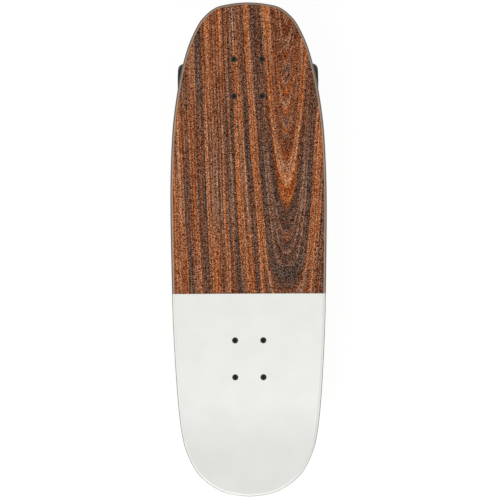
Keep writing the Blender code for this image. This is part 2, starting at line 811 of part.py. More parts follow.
def gusset_points():
    """Corners of the webs that spread from the ring to the beam."""
    back = Vector((0, -math.cos(KINGPIN_LEAN), math.sin(KINGPIN_LEAN)))
    radius = RING_RADIUS - GUSSET_INSET
    diagonal = radius * math.sqrt(0.5)
    reach = HANGER_WIDTH / 2 * GUSSET_SHARE
    flank = HANGER_RADIUS * math.sqrt(0.5)
    for side in (-1, 1):
        for rise in (-GUSSET_THICKNESS / 2, GUSSET_THICKNESS / 2):
            level = RING_CENTRE + KINGPIN_DIRECTION * rise
            yield level + Vector((side * radius, 0, 0))
            yield level + Vector((side * diagonal, 0, 0)) + back * diagonal
        for y, z in ((-flank, -flank), (-flank, flank / 2), (flank / 2, -flank)):
            yield AXLE_CENTRE + Vector((side * reach, y, z))


def axle_mesh():
    """The steel axle, right through the hanger, with chamfered ends."""
    half = AXLE_LENGTH / 2
    tip = AXLE_RADIUS - AXLE_CHAMFER
    profile = [
        (0, -half),
        (tip, -half),
        (AXLE_RADIUS, AXLE_CHAMFER - half),
        (AXLE_RADIUS, half - AXLE_CHAMFER),
        (tip, half),
        (0, half),
    ]
    return shifted(turned(profile, SMALL_FACETS, ALONG_AXLE), AXLE_CENTRE)


def axle_nut_mesh():
    """A lock nut for the axle's right end."""
    mesh = nut_mesh(AXLE_NUT_RADIUS, AXLE_RADIUS + GAP, AXLE_NUT_X, AXLE_NUT_HEIGHT)
    mesh.transform(ALONG_AXLE)
    return mesh


def wheel_mesh():
    """Urethane with a seat for a bearing on each side, a stop between them and a dished face."""
    half = WHEEL_WIDTH / 2
    stop = SPACER_LENGTH / 2 - GAP
    seat = BEARING_RADIUS + GAP
    seat_end = SPACER_LENGTH / 2 + BEARING_WIDTH + GAP
    lip_centre_radius = WHEEL_RADIUS - WHEEL_LIP_RADIUS
    lip_centre_x = half - WHEEL_LIP_RADIUS
    lip = []
    for step in range(3):
        angle = math.radians(90) * (1 - step / 2)
        radius = lip_centre_radius + WHEEL_LIP_RADIUS * math.cos(angle)
        lip.append((radius, lip_centre_x + WHEEL_LIP_RADIUS * math.sin(angle)))
    right = [
        (WHEEL_STOP_RADIUS, stop),
        (seat, stop),
        (seat, seat_end),
        (WHEEL_DISH_RADIUS, half),
        *lip,
    ]
    left = [(radius, -x) for radius, x in reversed(right)]
    # The facets' flats, not their corners, lie at the wheel's radius, so the corners stand further out
    flats = 1 / math.cos(math.pi / WHEEL_FACETS)
    profile = [(radius * flats, x) for radius, x in right + left]
    return turned(profile, WHEEL_FACETS, ALONG_AXLE, half_step=True)


def bearing_shell_mesh():
    """A bearing's outer ring with its shield, from the spacer outwards along +X."""
    race = BEARING_RADIUS - BEARING_RING_WALL
    inner_face = BEARING_WIDTH - SHIELD_THICKNESS
    profile = [
        (BEARING_RADIUS, 0),
        (BEARING_RADIUS, BEARING_WIDTH),
        (SHIELD_HOLE_RADIUS, BEARING_WIDTH),
        (SHIELD_HOLE_RADIUS, inner_face),
        (race, inner_face),
        (race, 0),
    ]
    return turned(profile, ROUND_FACETS, ALONG_AXLE)


def ball_cage_mesh():
    """Seven balls in their cage, which rides on the side of the spacer."""
    middle = BEARING_WIDTH / 2
    inner = BALL_PITCH_RADIUS - CAGE_WALL / 2
    outer = BALL_PITCH_RADIUS + CAGE_WALL / 2
    start = middle - CAGE_SETBACK
    end = start + CAGE_WIDTH
    profile = [(inner, start), (outer, start), (outer, end), (inner, end)]
    cage = turned(profile, 2 * BALL_COUNT)
    balls = []
    for number in range(BALL_COUNT):
        bm = bmesh.new()
        bmesh.ops.create_uvsphere(bm, u_segments=HEX, v_segments=3, radius=BALL_RADIUS)
        angle = math.tau * number / BALL_COUNT
        at = Vector((BALL_PITCH_RADIUS * math.cos(angle), BALL_PITCH_RADIUS * math.sin(angle), middle))
        bmesh.ops.translate(bm, vec=at, verts=bm.verts)
        balls.append(mesh_from(bm, "ball"))
    mesh = boolean(cage, "UNION", *balls)
    mesh.transform(ALONG_AXLE)
    return mesh


def bearing_core_mesh():
    """What is clamped on the axle inside a wheel: two inner rings with the spacer between them."""
    bore = AXLE_RADIUS + GAP
    ring = BALL_PITCH_RADIUS - BALL_RADIUS - GAP
    half = CORE_LENGTH / 2
    spacer = SPACER_LENGTH / 2
    profile = [
        (bore, -half),
        (ring, -half),
        (ring, -spacer),
        (SPACER_RADIUS, -spacer),
        (SPACER_RADIUS, spacer),
        (ring, spacer),
        (ring, half),
        (bore, half),
    ]
    return turned(profile, ROUND_FACETS, ALONG_AXLE)


def empty(name, location, rotation=(0, 0, 0), parent=None):
    made = bpy.data.objects.new(name, None)
    bpy.context.scene.collection.objects.link(made)
    made.empty_display_size = 0.02
    made.location = location
    made.rotation_euler = rotation
    made.parent = parent
    return made


def place(name, mesh, look, parent=None, location=(0, 0, 0), rotation=(0, 0, 0)):
    """One named piece of the board."""
    obj = bpy.data.objects.new(name, mesh)
    bpy.context.scene.collection.objects.link(obj)
    obj.parent = parent
    obj.location = location
    obj.rotation_euler = rotation
    if not mesh.materials:
        mesh.materials.append(look)
    mesh.shade_smooth()
    mesh.set_sharp_from_angle(angle=math.radians(35))
    return obj


def make_materials():
    return {
        "maple": material("maple_ply", (0.30, 0.20, 0.12), 0.45),
        "wood_grip": material("wood_grit_sheet", (0.20, 0.080, 0.042), 0.85),
        "white_grip": material("white_sheet", (0.80, 0.81, 0.78), 0.60),
        "black_bolt": material("black_bolt", (0.012, 0.012, 0.011), 0.45, 0.6),
        "riser": material("black_riser", (0.015, 0.015, 0.015), 0.75),
        "cast": material("black_casting", (0.020, 0.020, 0.021), 0.42, 0.3),
        "steel": material("zinc_steel", (0.55, 0.55, 0.53), 0.35, 1.0),
        "urethane": material("black_urethane", (0.018, 0.018, 0.018), 0.50),
        "bushing": material("bushing_urethane", (0.020, 0.020, 0.020), 0.45),
        "bearing": material("bearing_steel", (0.62, 0.62, 0.62), 0.22, 1.0),
    }


def make_deck(looks):
    outline = Outline()
    half = DECK_LENGTH / 2
    place("deck", deck_mesh(outline), looks["maple"])
    front = grip_mesh(outline, GRIP_SEAM_Y + GAP / 2, half)
    front = boolean(front, "DIFFERENCE", *grip_holes(FRONT_TRUCK_Y))
    place("grip_sheet_front", front, looks["wood_grip"])
    tail = grip_mesh(outline, -half, GRIP_SEAM_Y - GAP / 2)
    tail = boolean(tail, "DIFFERENCE", *grip_holes(REAR_TRUCK_Y))
    place("grip_sheet_tail", tail, looks["white_grip"])
    bolt = bolt_mesh()
    for end, truck_y in (("front", FRONT_TRUCK_Y), ("rear", REAR_TRUCK_Y)):
        for number, (x, y) in enumerate(bolt_places(truck_y), start=1):
            location = (x, y, BOLT_TOP_Z)
            place(f"{end}_deck_bolt_{number}", bolt, looks["black_bolt"], location=location)


def make_truck_meshes():
    """Meshes that stay on the deck, in the truck's frame, and those that steer, from the ring's centre."""
    fixed = {
        "riser_pad": (riser_mesh(), "riser"),
        "baseplate": (baseplate_mesh(), "cast"),
        "pivot_cup": (pivot_cup_mesh(), "bushing"),
        "kingpin": (kingpin_mesh(), "steel"),
        "kingpin_nut": (
            on_kingpin(
                nut_mesh(
                    KINGPIN_HEAD_RADIUS,
                    KINGPIN_RADIUS + GAP,
                    KINGPIN_NUT_START,
                    KINGPIN_NUT_HEIGHT,
                )
            ),
            "steel",
        ),
        "board_bushing": (
            bushing_mesh(
                BOARD_BUSHING_START, BOARD_BUSHING_HEIGHT, BUSHING_RADIUS, BUSHING_BARREL
            ),
            "bushing",
        ),
        "road_bushing": (
            bushing_mesh(ROAD_BUSHING_START, ROAD_BUSHING_HEIGHT, BUSHING_TIP_RADIUS, BUSHING_BARREL),
            "bushing",
        ),
        "road_washer": (road_washer_mesh(), "steel"),
    }
    steered = {
        "hanger": (shifted(hanger_mesh(), -RING_CENTRE), "cast"),
        "axle": (shifted(axle_mesh(), -RING_CENTRE), "steel"),
    }
    return fixed, steered


def make_truck(end, truck_y, rotation, right_sign, meshes, wheel_meshes, looks):
    """A truck with its wheels. The right sign is +1 where the truck's own x points to the board's right."""
    fixed, steered = meshes
    truck = empty(f"{end}_truck", (0, truck_y, BASEPLATE_TOP_Z), rotation)
    for name, (mesh, look) in fixed.items():
        place(f"{end}_{name}", mesh, looks[look], truck)
    steer = empty(f"{end}_steer", RING_CENTRE, parent=truck)
    for name, (mesh, look) in steered.items():
        place(f"{end}_{name}", mesh, looks[look], steer)
    for side, sign in (("left", -right_sign), ("right", right_sign)):
        outward = (0, 0, 0) if sign > 0 else (0, 0, math.pi)
        inward = (0, 0, math.pi) if sign > 0 else (0, 0, 0)
        axle_end = AXLE_CENTRE - RING_CENTRE
        hub_location = axle_end + Vector((sign * WHEEL_CENTRE_X, 0, 0))
        hub = empty(f"{end}_{side}_hub", hub_location, parent=steer)
        label = f"{end}_{side}"
        place(f"{label}_axle_nut", wheel_meshes["nut"], looks["steel"], steer, axle_end, outward)
        place(f"{label}_wheel", wheel_meshes["wheel"], looks["urethane"], hub)
        place(f"{label}_bearing_core", wheel_meshes["core"], looks["bearing"], hub)
        for where, turn, step in (("outboard", outward, sign), ("inboard", inward, -sign)):
            location = (step * SPACER_LENGTH / 2, 0, 0)
            shell = wheel_meshes["shell"]
            place(f"{label}_{where}_bearing_shell", shell, looks["bearing"], hub, location, turn)
            cage = wheel_meshes["cage"]
            place(f"{label}_{where}_ball_cage", cage, looks["bearing"], hub, location, turn)


def main():
    clear_scene()
    looks = make_materials()
    make_deck(looks)
    truck_meshes = make_truck_meshes()
    wheel_meshes = {
        "nut": axle_nut_mesh(),
        "wheel": wheel_mesh(),
        "core": bearing_core_mesh(),
        "shell": bearing_shell_mesh(),
        "cage": ball_cage_mesh(),
    }
    half_turn = math.pi
    front = ("front", FRONT_TRUCK_Y, (half_turn, 0, 0), 1)
    rear = ("rear", REAR_TRUCK_Y, (0, half_turn, 0), -1)
    for end, truck_y, rotation, right_sign in (front, rear):
        make_truck(end, truck_y, rotation, right_sign, truck_meshes, wheel_meshes, looks)


main()
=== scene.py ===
# %% [markdown]
# # A cruiser skateboard
# A cruiser is a short skateboard with soft wheels for riding about town. From above it is almost all
# deck: a wood-look grip sheet with a white tail, eight black bolts and a glimpse of the front wheels.
# Turned over, it shows two trucks that steer when the rider leans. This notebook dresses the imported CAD
# model: each step says what a piece is on a real board, and then makes it as a modeller would by hand.

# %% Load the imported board
import math

import bmesh
import bpy
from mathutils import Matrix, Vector


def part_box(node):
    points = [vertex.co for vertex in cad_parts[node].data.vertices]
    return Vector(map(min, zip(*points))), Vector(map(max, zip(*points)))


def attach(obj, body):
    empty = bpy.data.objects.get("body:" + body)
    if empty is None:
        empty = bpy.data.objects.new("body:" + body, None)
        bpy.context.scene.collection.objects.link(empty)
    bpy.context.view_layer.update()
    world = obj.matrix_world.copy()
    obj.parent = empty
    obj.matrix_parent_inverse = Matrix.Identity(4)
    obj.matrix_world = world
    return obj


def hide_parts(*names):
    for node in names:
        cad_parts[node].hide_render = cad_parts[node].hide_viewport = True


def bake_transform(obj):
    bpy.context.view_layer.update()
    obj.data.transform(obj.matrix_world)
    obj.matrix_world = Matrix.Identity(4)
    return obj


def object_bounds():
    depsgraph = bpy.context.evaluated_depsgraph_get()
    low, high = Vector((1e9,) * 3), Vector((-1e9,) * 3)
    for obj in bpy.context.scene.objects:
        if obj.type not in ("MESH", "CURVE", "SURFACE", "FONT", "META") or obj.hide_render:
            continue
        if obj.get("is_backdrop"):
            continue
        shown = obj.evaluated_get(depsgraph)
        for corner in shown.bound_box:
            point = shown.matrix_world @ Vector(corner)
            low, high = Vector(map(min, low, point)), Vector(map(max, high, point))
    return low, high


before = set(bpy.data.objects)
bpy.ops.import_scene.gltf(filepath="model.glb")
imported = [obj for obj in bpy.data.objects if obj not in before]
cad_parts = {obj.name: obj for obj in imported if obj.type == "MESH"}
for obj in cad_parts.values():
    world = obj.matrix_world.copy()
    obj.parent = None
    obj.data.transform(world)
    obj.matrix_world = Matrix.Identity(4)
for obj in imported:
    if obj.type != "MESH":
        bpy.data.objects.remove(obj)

cad_low, cad_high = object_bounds()
print("CAD box:", [round(side, 4) for side in cad_high - cad_low])

# %% [markdown]
# ## Working like a modeller
# Blender's operators act on whatever is selected. By hand that is a click; in code it is a test on the
# place of each vertex or face. These helpers open a piece in edit mode with nothing selected, select by
# such a test, and add a modifier and apply it at once.

# %% Select, edit, apply
TOUCHING = 0.000001
SLIVER = 0.000002
MEETING = 0.00001


def only(piece):
    """Leaves one object selected and active."""
    bpy.ops.object.select_all(action="DESELECT")
    piece.select_set(True)
    bpy.context.view_layer.objects.active = piece


def edit(piece, kind="VERT", action="DESELECT"):
    """Opens an object in edit mode, with nothing or everything selected."""
    only(piece)
    bpy.ops.object.mode_set(mode="EDIT")
    bpy.ops.mesh.select_mode(type=kind)
    bpy.ops.mesh.select_all(action=action)


def pick(piece, kind, test):
    """Selects the vertices, edges or faces that pass a test."""
    mesh = bmesh.from_edit_mesh(piece.data)
    for item in {"VERT": mesh.verts, "EDGE": mesh.edges, "FACE": mesh.faces}[kind]:
        if test(item):
            item.select_set(True)
    bmesh.update_edit_mesh(piece.data)


def done():
    bpy.ops.object.mode_set(mode="OBJECT")


def faced_out(piece):
    """Turns all faces of the open piece outwards and leaves edit mode."""
    bpy.ops.mesh.select_all(action="SELECT")
    bpy.ops.mesh.normals_make_consistent(inside=False)
    done()
    return piece


def clear(*pieces):
    """Takes objects that have done their work out of the scene."""
    for piece in pieces:
        bpy.data.objects.remove(piece)


def apply(piece, kind, **settings):
    """Adds a modifier, sets it and applies it."""
    only(piece)
    bpy.ops.object.modifier_add(type=kind)
    modifier = piece.modifiers[-1]
    for setting, value in settings.items():
        setattr(modifier, setting, value)
    bpy.ops.object.modifier_apply(modifier=modifier.name)
    return piece


def cleaned(piece):
    """Clears away slivers, which cutting and rounding leave behind."""
    edit(piece, action="SELECT")
    bpy.ops.mesh.remove_doubles(threshold=SLIVER)
    bpy.ops.mesh.dissolve_degenerate(threshold=SLIVER)
    done()
    return piece


def smooth(piece, angle=35):
    """Shades a piece smooth, apart from its sharp edges."""
    only(piece)
    bpy.ops.object.shade_smooth_by_angle(angle=math.radians(angle))
    return piece


def rounded(piece, width, segments=2, angle=35):
    """Rounds the sharp edges a little, as every made thing has them."""
    limit = math.radians(angle)
    apply(piece, "BEVEL", width=width, segments=segments, limit_method="ANGLE", angle_limit=limit)
    return smooth(cleaned(piece), angle)


def cut(piece, *cutters, operation="DIFFERENCE"):
    """Cuts a piece with other objects, which are then thrown away."""
    for cutter in cutters:
        apply(piece, "BOOLEAN", object=cutter, operation=operation, solver="EXACT")
    clear(*cutters)
    return cleaned(piece)


def join(first, *others):
    """Makes several objects one object, without welding them."""
    only(first)
    for other in others:
        other.select_set(True)
    bpy.ops.object.join()
    return first


def place(piece, turn=(0, 0, 0), at=(0, 0, 0)):
    """Turns and moves an object, and writes that into its mesh."""
    piece.rotation_euler = [math.radians(angle) for angle in turn]
    piece.location = at
    only(piece)
    bpy.ops.object.transform_apply(location=True, rotation=True, scale=True)
    return piece


def copy_of(piece):
    """A copy with a mesh of its own."""
    only(piece)
    bpy.ops.object.duplicate(linked=False)
    return bpy.context.object


print("helpers are ready")

# %% [markdown]
# ## The lathe
# Wheels, bearings, washers, bushings and bolts are turned shapes. A turner sees them as a profile that
# goes round an axis, and so does the Spin tool. The profile is drawn by extruding one vertex from point
# to point, and is then spun about Z. A ring's section is closed by ending where it began.

# %% A profile, spun
MM = 0.001


def trace(points):
    """Extrudes one vertex from point to point, and leaves edit mode on."""
    points = [Vector(point) for point in points]
    bpy.ops.mesh.primitive_plane_add(size=MM, location=(0, 0, 0))
    piece = bpy.context.object
    edit(piece, action="SELECT")
    bpy.ops.mesh.merge(type="CENTER")
    bpy.ops.transform.translate(value=points[0])
    for before, after in zip(points, points[1:]):
        bpy.ops.mesh.extrude_vertices_move(TRANSFORM_OT_translate={"value": after - before})
    bpy.ops.mesh.select_all(action="SELECT")
    return piece


def lathe(profile, steps=48, closed=False):
    """A turned piece about Z from (radius, height) points in millimetres."""
    points = [(radius * MM, 0, height * MM) for radius, height in profile]
    if closed:
        points.append(points[0])
    piece = trace(points)
    bpy.ops.mesh.spin(steps=steps, angle=math.tau, center=(0, 0, 0), axis=(0, 0, 1))
    bpy.ops.mesh.select_all(action="SELECT")
    bpy.ops.mesh.remove_doubles(threshold=TOUCHING)
    return faced_out(piece)


def mirrored(profile):
    """A profile's points in reverse order, at opposite heights."""
    return [(radius, -height) for radius, height in reversed(profile)]


def drill(radius, start, end, steps=32):
    """A round cutter along Z, in millimetres."""
    return lathe([(0, start), (radius, start), (radius, end), (0, end)], steps)


def arc(radius, height, bend, start, end, steps=6):
    """Profile points round a corner: its centre, its bend and two angles, where 0 points outwards."""
    angles = [math.radians(start + (end - start) * step / steps) for step in range(steps + 1)]
    return [(radius + bend * math.cos(a), height + bend * math.sin(a)) for a in angles]


trial = lathe([(0, 0), (10, 0), *arc(8, 8, 2, 0, 90), (0, 10)])
print("a turned disc with a rounded rim has", len(trial.data.polygons), "faces")
clear(trial)

# %% [markdown]
# ## Finishes as node trees
# A finish is more than a colour. Each one mixes its colour from a pattern, and a finer pattern drives
# the roughness and a little bump. Two small classes keep the trees short to read: a method adds a node,
# feeds it with sockets or plain values and gives back what comes out.

# %% Node helpers
def srgb(red, green, blue):
    """A colour as a picture gives it, from 0 to 255, in the linear values that shaders use."""
    shares = [part / 255 for part in (red, green, blue)]
    return [part / 12.92 if part <= 0.04045 else ((part + 0.055) / 1.055) ** 2.4 for part in shares]


class Nodes:
    """A node tree with a short way to add to it."""

    def __init__(self, tree):
        self.tree = tree

    def add(self, kind, **settings):
        node = self.tree.nodes.new("ShaderNode" + kind)
        for setting, value in settings.items():
            setattr(node, setting, value)
        return node

    def feed(self, socket, value):
        """Feeds a socket with another socket, or with a plain value."""
        if isinstance(value, bpy.types.NodeSocket):
            self.tree.links.new(value, socket)
        elif socket.type == "RGBA":
            socket.default_value = (*value, 1)
        else:
            socket.default_value = value

    def fed(self, kind, inputs, output=0, **settings):
        """Adds a node, feeds its inputs and gives back one of its outputs."""
        node = self.add(kind, **settings)
        for socket, value in inputs.items():
            self.feed(node.inputs[socket], value)
        return node.outputs[output]

    def sum(self, operation, a, b=0.0, clamp=False):
        return self.fed("Math", {0: a, 1: b}, operation=operation, use_clamp=clamp)

    def between(self, value, low, high, start=0.0, end=1.0, smooth=False):
        """Maps a value from one range to another."""
        ranges = {"From Min": low, "From Max": high, "To Min": start, "To Max": end}
        kind = "SMOOTHSTEP" if smooth else "LINEAR"
        return self.fed("MapRange", {"Value": value, **ranges}, interpolation_type=kind)


class Finish(Nodes):
    """A material whose patterns lie on the piece's own coordinates."""

    def __init__(self, name, roughness=0.5, metallic=0.0, specular=0.5, coat=0.0):
        self.material = bpy.data.materials.new(name)
        self.material.use_nodes = True
        super().__init__(self.material.node_tree)
        self.shader = self.tree.nodes["Principled BSDF"]
        self.shader.inputs["Roughness"].default_value = roughness
        self.shader.inputs["Metallic"].default_value = metallic
        self.shader.inputs["Specular IOR Level"].default_value = specular
        self.shader.inputs["Coat Weight"].default_value = coat
        self.at = self.add("TexCoord").outputs["Object"]

    def ramp(self, value, stops, steps=False):
        """A colour ramp from (position, colour) stops, where a plain number is a grey."""
        node = self.add("ValToRGB")
        node.color_ramp.interpolation = "CONSTANT" if steps else "LINEAR"
        for _ in stops[2:]:
            node.color_ramp.elements.new(0.5)
        for element, (position, colour) in zip(node.color_ramp.elements, stops):
            element.position = position
            element.color = (*(colour if hasattr(colour, "__len__") else [colour] * 3), 1)
        self.feed(node.inputs["Fac"], value)
        return node.outputs["Color"]

    def stretched(self, *stretch):
        return self.fed("Mapping", {"Vector": self.at, "Scale": stretch})

    def noise(self, scale, detail, place=None):
        inputs = {"Vector": place or self.at, "Scale": scale, "Detail": detail}
        return self.fed("TexNoise", inputs, "Fac")

    def cells(self, scale, output="Color"):
        """A random colour or the distance to the middle, for each small cell."""
        return self.fed("TexVoronoi", {"Vector": self.at, "Scale": scale}, output)

    def mix(self, share, a, b, blend="MIX"):
        return self.fed("Mix", {0: share, 6: a, 7: b}, 2, data_type="RGBA", blend_type=blend)

    def axes(self, place=None):
        node = self.add("SeparateXYZ")
        self.feed(node.inputs[0], place or self.at)
        return node.outputs

    def point(self, x, y=0.0, z=0.0):
        return self.fed("CombineXYZ", {0: x, 1: y, 2: z})

    def colour(self, value):
        self.feed(self.shader.inputs["Base Color"], value)

    def rough(self, pattern, start, end, low=0.3, high=0.7):
        """Lets the roughness follow a pattern."""
        self.feed(self.shader.inputs["Roughness"], self.between(pattern, low, high, start, end))

    def bump(self, height, strength, distance):
        inputs = {"Height": height, "Strength": strength, "Distance": distance}
        self.feed(self.shader.inputs["Normal"], self.fed("Bump", inputs))


print("node helpers are ready")

# %% [markdown]
# ## Handing a piece over
# A finished piece gets a name, a finish and a place in the mechanism: it rides on the CAD body that it
# belongs to, and it stands for the plain CAD node that it replaces, which then isn't shown.

# %% Name, finish and ride
made = []


def hand_over(piece, name, finish, slot, body, *nodes):
    """Names a piece, gives it its finish and lets it ride on a body in place of CAD nodes."""
    piece.name = name
    piece.data.name = name
    if not piece.data.materials:
        piece.data.materials.append(finish.material)
    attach(piece, body)
    if nodes:
        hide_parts(*nodes)
    made.append(name)


print("ready for the first piece")

# %% [markdown]
# ## The outline of the deck
# The shape of a cruiser deck is its outline: a blunt nose, a waist that widens towards the back foot and
# a broad round tail. A designer draws it as one smooth curve through a few points. Here they are given
# as the distance back from the tip and the share of the half width, and the Bezier handles follow the
# points on both sides of each one.

# %% Draw the outline
deck_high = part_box("deck")[1]
HALF_LENGTH = deck_high.y
HALF_WIDTH = deck_high.x
NOSE = [
    (2.0, 0.222), (7.8, 0.417), (22.3, 0.573), (39.8, 0.673),
    (69.1, 0.780), (113.0, 0.877), (171.7, 0.956), (230.1, 0.989),
]
TAIL = [
    (282.8, 0.981), (209.8, 0.957), (136.6, 0.916), (93.2, 0.872), (64.6, 0.812),
    (36.6, 0.688), (19.9, 0.546), (8.6, 0.384), (3.0, 0.232),
]
WIDEST_SHARE = 0.36
CURVE_STEPS = 10

right = [(share * HALF_WIDTH, HALF_LENGTH - back * MM) for back, share in NOSE]
rear = [(share * HALF_WIDTH, back * MM - HALF_LENGTH) for back, share in TAIL]
right.append((HALF_WIDTH, right[-1][1] + (rear[0][1] - right[-1][1]) * WIDEST_SHARE))
right += rear
left = [(-x, y) for x, y in reversed(right)]
knots = [Vector((x, y, 0)) for x, y in [(0, HALF_LENGTH), *right, (0, -HALF_LENGTH), *left]]


def draw_outline():
    """The deck's outline as one flat face."""
    bpy.ops.curve.primitive_bezier_circle_add(radius=HALF_LENGTH)
    piece = bpy.context.object
    piece.data.resolution_u = CURVE_STEPS
    points = piece.data.splines[0].bezier_points
    points.add(len(knots) - len(points))
    for i, point in enumerate(points):
        reach = (knots[(i + 1) % len(knots)] - knots[i - 1]) / 6
        point.handle_left_type = point.handle_right_type = "FREE"
        point.co = knots[i]
        point.handle_left = knots[i] - reach
        point.handle_right = knots[i] + reach
    bpy.ops.object.convert(target="MESH")
    edit(piece, action="SELECT")
    bpy.ops.mesh.edge_face_add()
    return faced_out(piece)


outline = draw_outline()
print("outline:", len(outline.data.vertices), "points,", [round(s, 4) for s in outline.dimensions])

# %% [markdown]
# ## The press
# A deck isn't carved: seven sheets of maple are glued and squeezed in a curved mould, which gives the
# raised rails, the turned-up nose and the kicked tail. A lattice does the same to a flat blank. Its
# cage is lifted wherever the mould is high, and whatever is in it bends along and keeps its thickness.

# %% Shape the press
GAP = 0.3 * MM
DECK_THICKNESS = 11 * MM
deck_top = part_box("front_riser_pad")[1].z + GAP + DECK_THICKNESS
FLAT_HALF_WIDTH = 30 * MM
CONCAVE_RISE = 8 * MM
TAIL_KICK = (0.137, 0.082, math.tan(math.radians(19)))
NOSE_KICK = (0.064, 0.050, math.tan(math.radians(9)))


def kick(distance, length, steepness):
    """Height and slope of an end that bends up over a length and then runs straight."""
    if distance <= 0:
        return 0.0, 0.0
    if distance < length:
        return steepness * distance**2 / (2 * length), steepness * distance / length
    return steepness * (distance - length / 2), steepness


def mould(x, y):
    """How far the deck's top lies above its flat middle there, and its slope along the board."""
    tail, tail_slope = kick(TAIL_KICK[0] - HALF_LENGTH - y, *TAIL_KICK[1:])
    nose, nose_slope = kick(NOSE_KICK[0] - HALF_LENGTH + y, *NOSE_KICK[1:])
    out = max(0.0, abs(x) - FLAT_HALF_WIDTH) / (HALF_WIDTH - FLAT_HALF_WIDTH)
    return tail + nose + CONCAVE_RISE * out**1.5, tail_slope + nose_slope


PRESS_SIZE = Vector((0.250, 0.750, 0.014))
PRESS_POINTS = (26, 64, 2)
PRESS_DEPTH = 5 * MM

bpy.ops.object.add(type="LATTICE", location=(0, 0, deck_top - PRESS_DEPTH))
press = bpy.context.object
press.scale = PRESS_SIZE
press.data.points_u, press.data.points_v, press.data.points_w = PRESS_POINTS
press.data.interpolation_type_u = press.data.interpolation_type_v = "KEY_CATMULL_ROM"
press.data.interpolation_type_w = "KEY_LINEAR"
for point in press.data.points:
    x, y, z = (part * size for part, size in zip(point.co, PRESS_SIZE))
    rise, slope = mould(x, y)
    depth = deck_top - (press.location.z + z)
    lift = rise + depth - depth * math.hypot(1, slope)
    point.co_deform.z = point.co.z + lift / PRESS_SIZE.z
print("the mould lifts the tail by", round(mould(0, -HALF_LENGTH)[0] / MM, 1), "mm")


def pressed(piece):
    """Presses a flat piece into the mould's shape."""
    apply(piece, "LATTICE", object=press)
    return smooth(piece, 30)


# %% [markdown]
# ## Rows to bend along
# A flat sheet with only an outline can't bend, so it is first scored into rows and columns. They lie
# closer together at the nose and the tail, where the mould curves most. Each vertex also keeps its
# depth below the deck's top, so that the finish can find the single plies after the pressing.

# %% Score a flat piece
ROWS = [HALF_LENGTH - 6 * MM * n for n in range(1, 14)]
ROWS += [ROWS[-1] - 14 * MM * n for n in range(1, 33)]
ROWS += [TAIL_KICK[0] - HALF_LENGTH - 5.5 * MM * n for n in range(0, 25)]
COLUMNS = [side * (30 + 6 * n) * MM for n in range(0, 14) for side in (-1, 1)] + [0]
ROW_SNAP = 0.05 * MM


def scored(piece):
    for normal, places in (((0, 1, 0), ROWS), ((1, 0, 0), COLUMNS)):
        for along in places:
            edit(piece, action="SELECT")
            at = Vector(normal) * along
            bpy.ops.mesh.bisect(plane_co=at, plane_no=normal, threshold=ROW_SNAP)
            done()
    depth = piece.data.attributes.new("depth", "FLOAT", "POINT")
    for vertex, value in zip(piece.data.vertices, depth.data):
        value.value = (deck_top - vertex.co.z) / MM
    return piece


print(len(ROWS), "rows and", len(COLUMNS), "columns")

# %% [markdown]
# ## Holes for the truck bolts
# Eight holes go through sheet and deck on the usual pattern of a truck. They are drilled before the
# pressing here, because the deck is flat at the trucks. Each is countersunk for the bolt's head.

# %% Where the bolts go
ENDS = ("front", "rear")
BOLT_X = 20.64 * MM
BOLT_Y = 26.99 * MM
bolt_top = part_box("front_deck_bolt_1")[1].z


def middle(node):
    """The middle of a CAD node's box, as x, y and z."""
    return [(low + high) / 2 for low, high in zip(*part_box(node))]


truck_y = {end: middle(f"{end}_riser_pad")[1] for end in ENDS}
BOLTS = {
    end: [(x, truck_y[end] + y) for y in (BOLT_Y, -BOLT_Y) for x in (-BOLT_X, BOLT_X)] for end in ENDS
}


def bolt_drills(profile):
    """Eight cutters of one shape, at the bolts."""
    spots = BOLTS["front"] + BOLTS["rear"]
    return join(*[place(lathe(profile, 24), at=(x, y, bolt_top)) for x, y in spots])


print("front bolts at", [tuple(round(part, 4) for part in spot) for spot in BOLTS["front"]])

# %% [markdown]
# ## The deck
# The blank is sawn to the outline and its rails are rounded with a router. Here the outline is raised
# by half the flat of the rail and then inset five times, at first mostly upwards and then mostly
# inwards, which draws the rounding. Its flat lower face is deleted and a mirror adds the lower half.
# Then it is drilled, scored and pressed.

# %% Make the deck
RAIL_ROUND = 4 * MM
RAIL_STEPS = 5

deck = copy_of(outline)
edit(deck, "FACE", "SELECT")
rail_flat = DECK_THICKNESS / 2 - RAIL_ROUND
bpy.ops.mesh.extrude_region_move(TRANSFORM_OT_translate={"value": (0, 0, rail_flat)})
turns = [math.radians(90) * step / RAIL_STEPS for step in range(RAIL_STEPS + 1)]
for before, after in zip(turns, turns[1:]):
    inwards = RAIL_ROUND * (math.cos(before) - math.cos(after))
    upwards = RAIL_ROUND * (math.sin(after) - math.sin(before))
    bpy.ops.mesh.inset(thickness=inwards, depth=upwards)
bpy.ops.mesh.select_all(action="DESELECT")
pick(deck, "FACE", lambda f: abs(f.normal.z) > 0.5 and f.calc_center_median().z < rail_flat / 2)
bpy.ops.mesh.delete(type="FACE")
done()
apply(deck, "MIRROR", use_axis=(False, False, True), use_mirror_merge=True, merge_threshold=MEETING)
edit(deck)
faced_out(deck)
place(deck, at=(0, 0, deck_top - DECK_THICKNESS / 2))
cut(deck, bolt_drills([(0, 2), (4.6, 2), (4.6, -0.55), (2.7, -2.95), (2.7, -28), (0, -28)]))
pressed(scored(deck))
print("deck:", len(deck.data.polygons), "faces,", [round(s, 4) for s in deck.dimensions])

# %% [markdown]
# ## The finish of the deck
# From above only a thin line of the deck shows: light top ply, then the darker plies below it where
# the rail rounds over. Behind the seam the top of the rail is painted white. The underside is clear
# lacquered maple. The depth kept before the pressing tells the plies apart, whatever the bend.

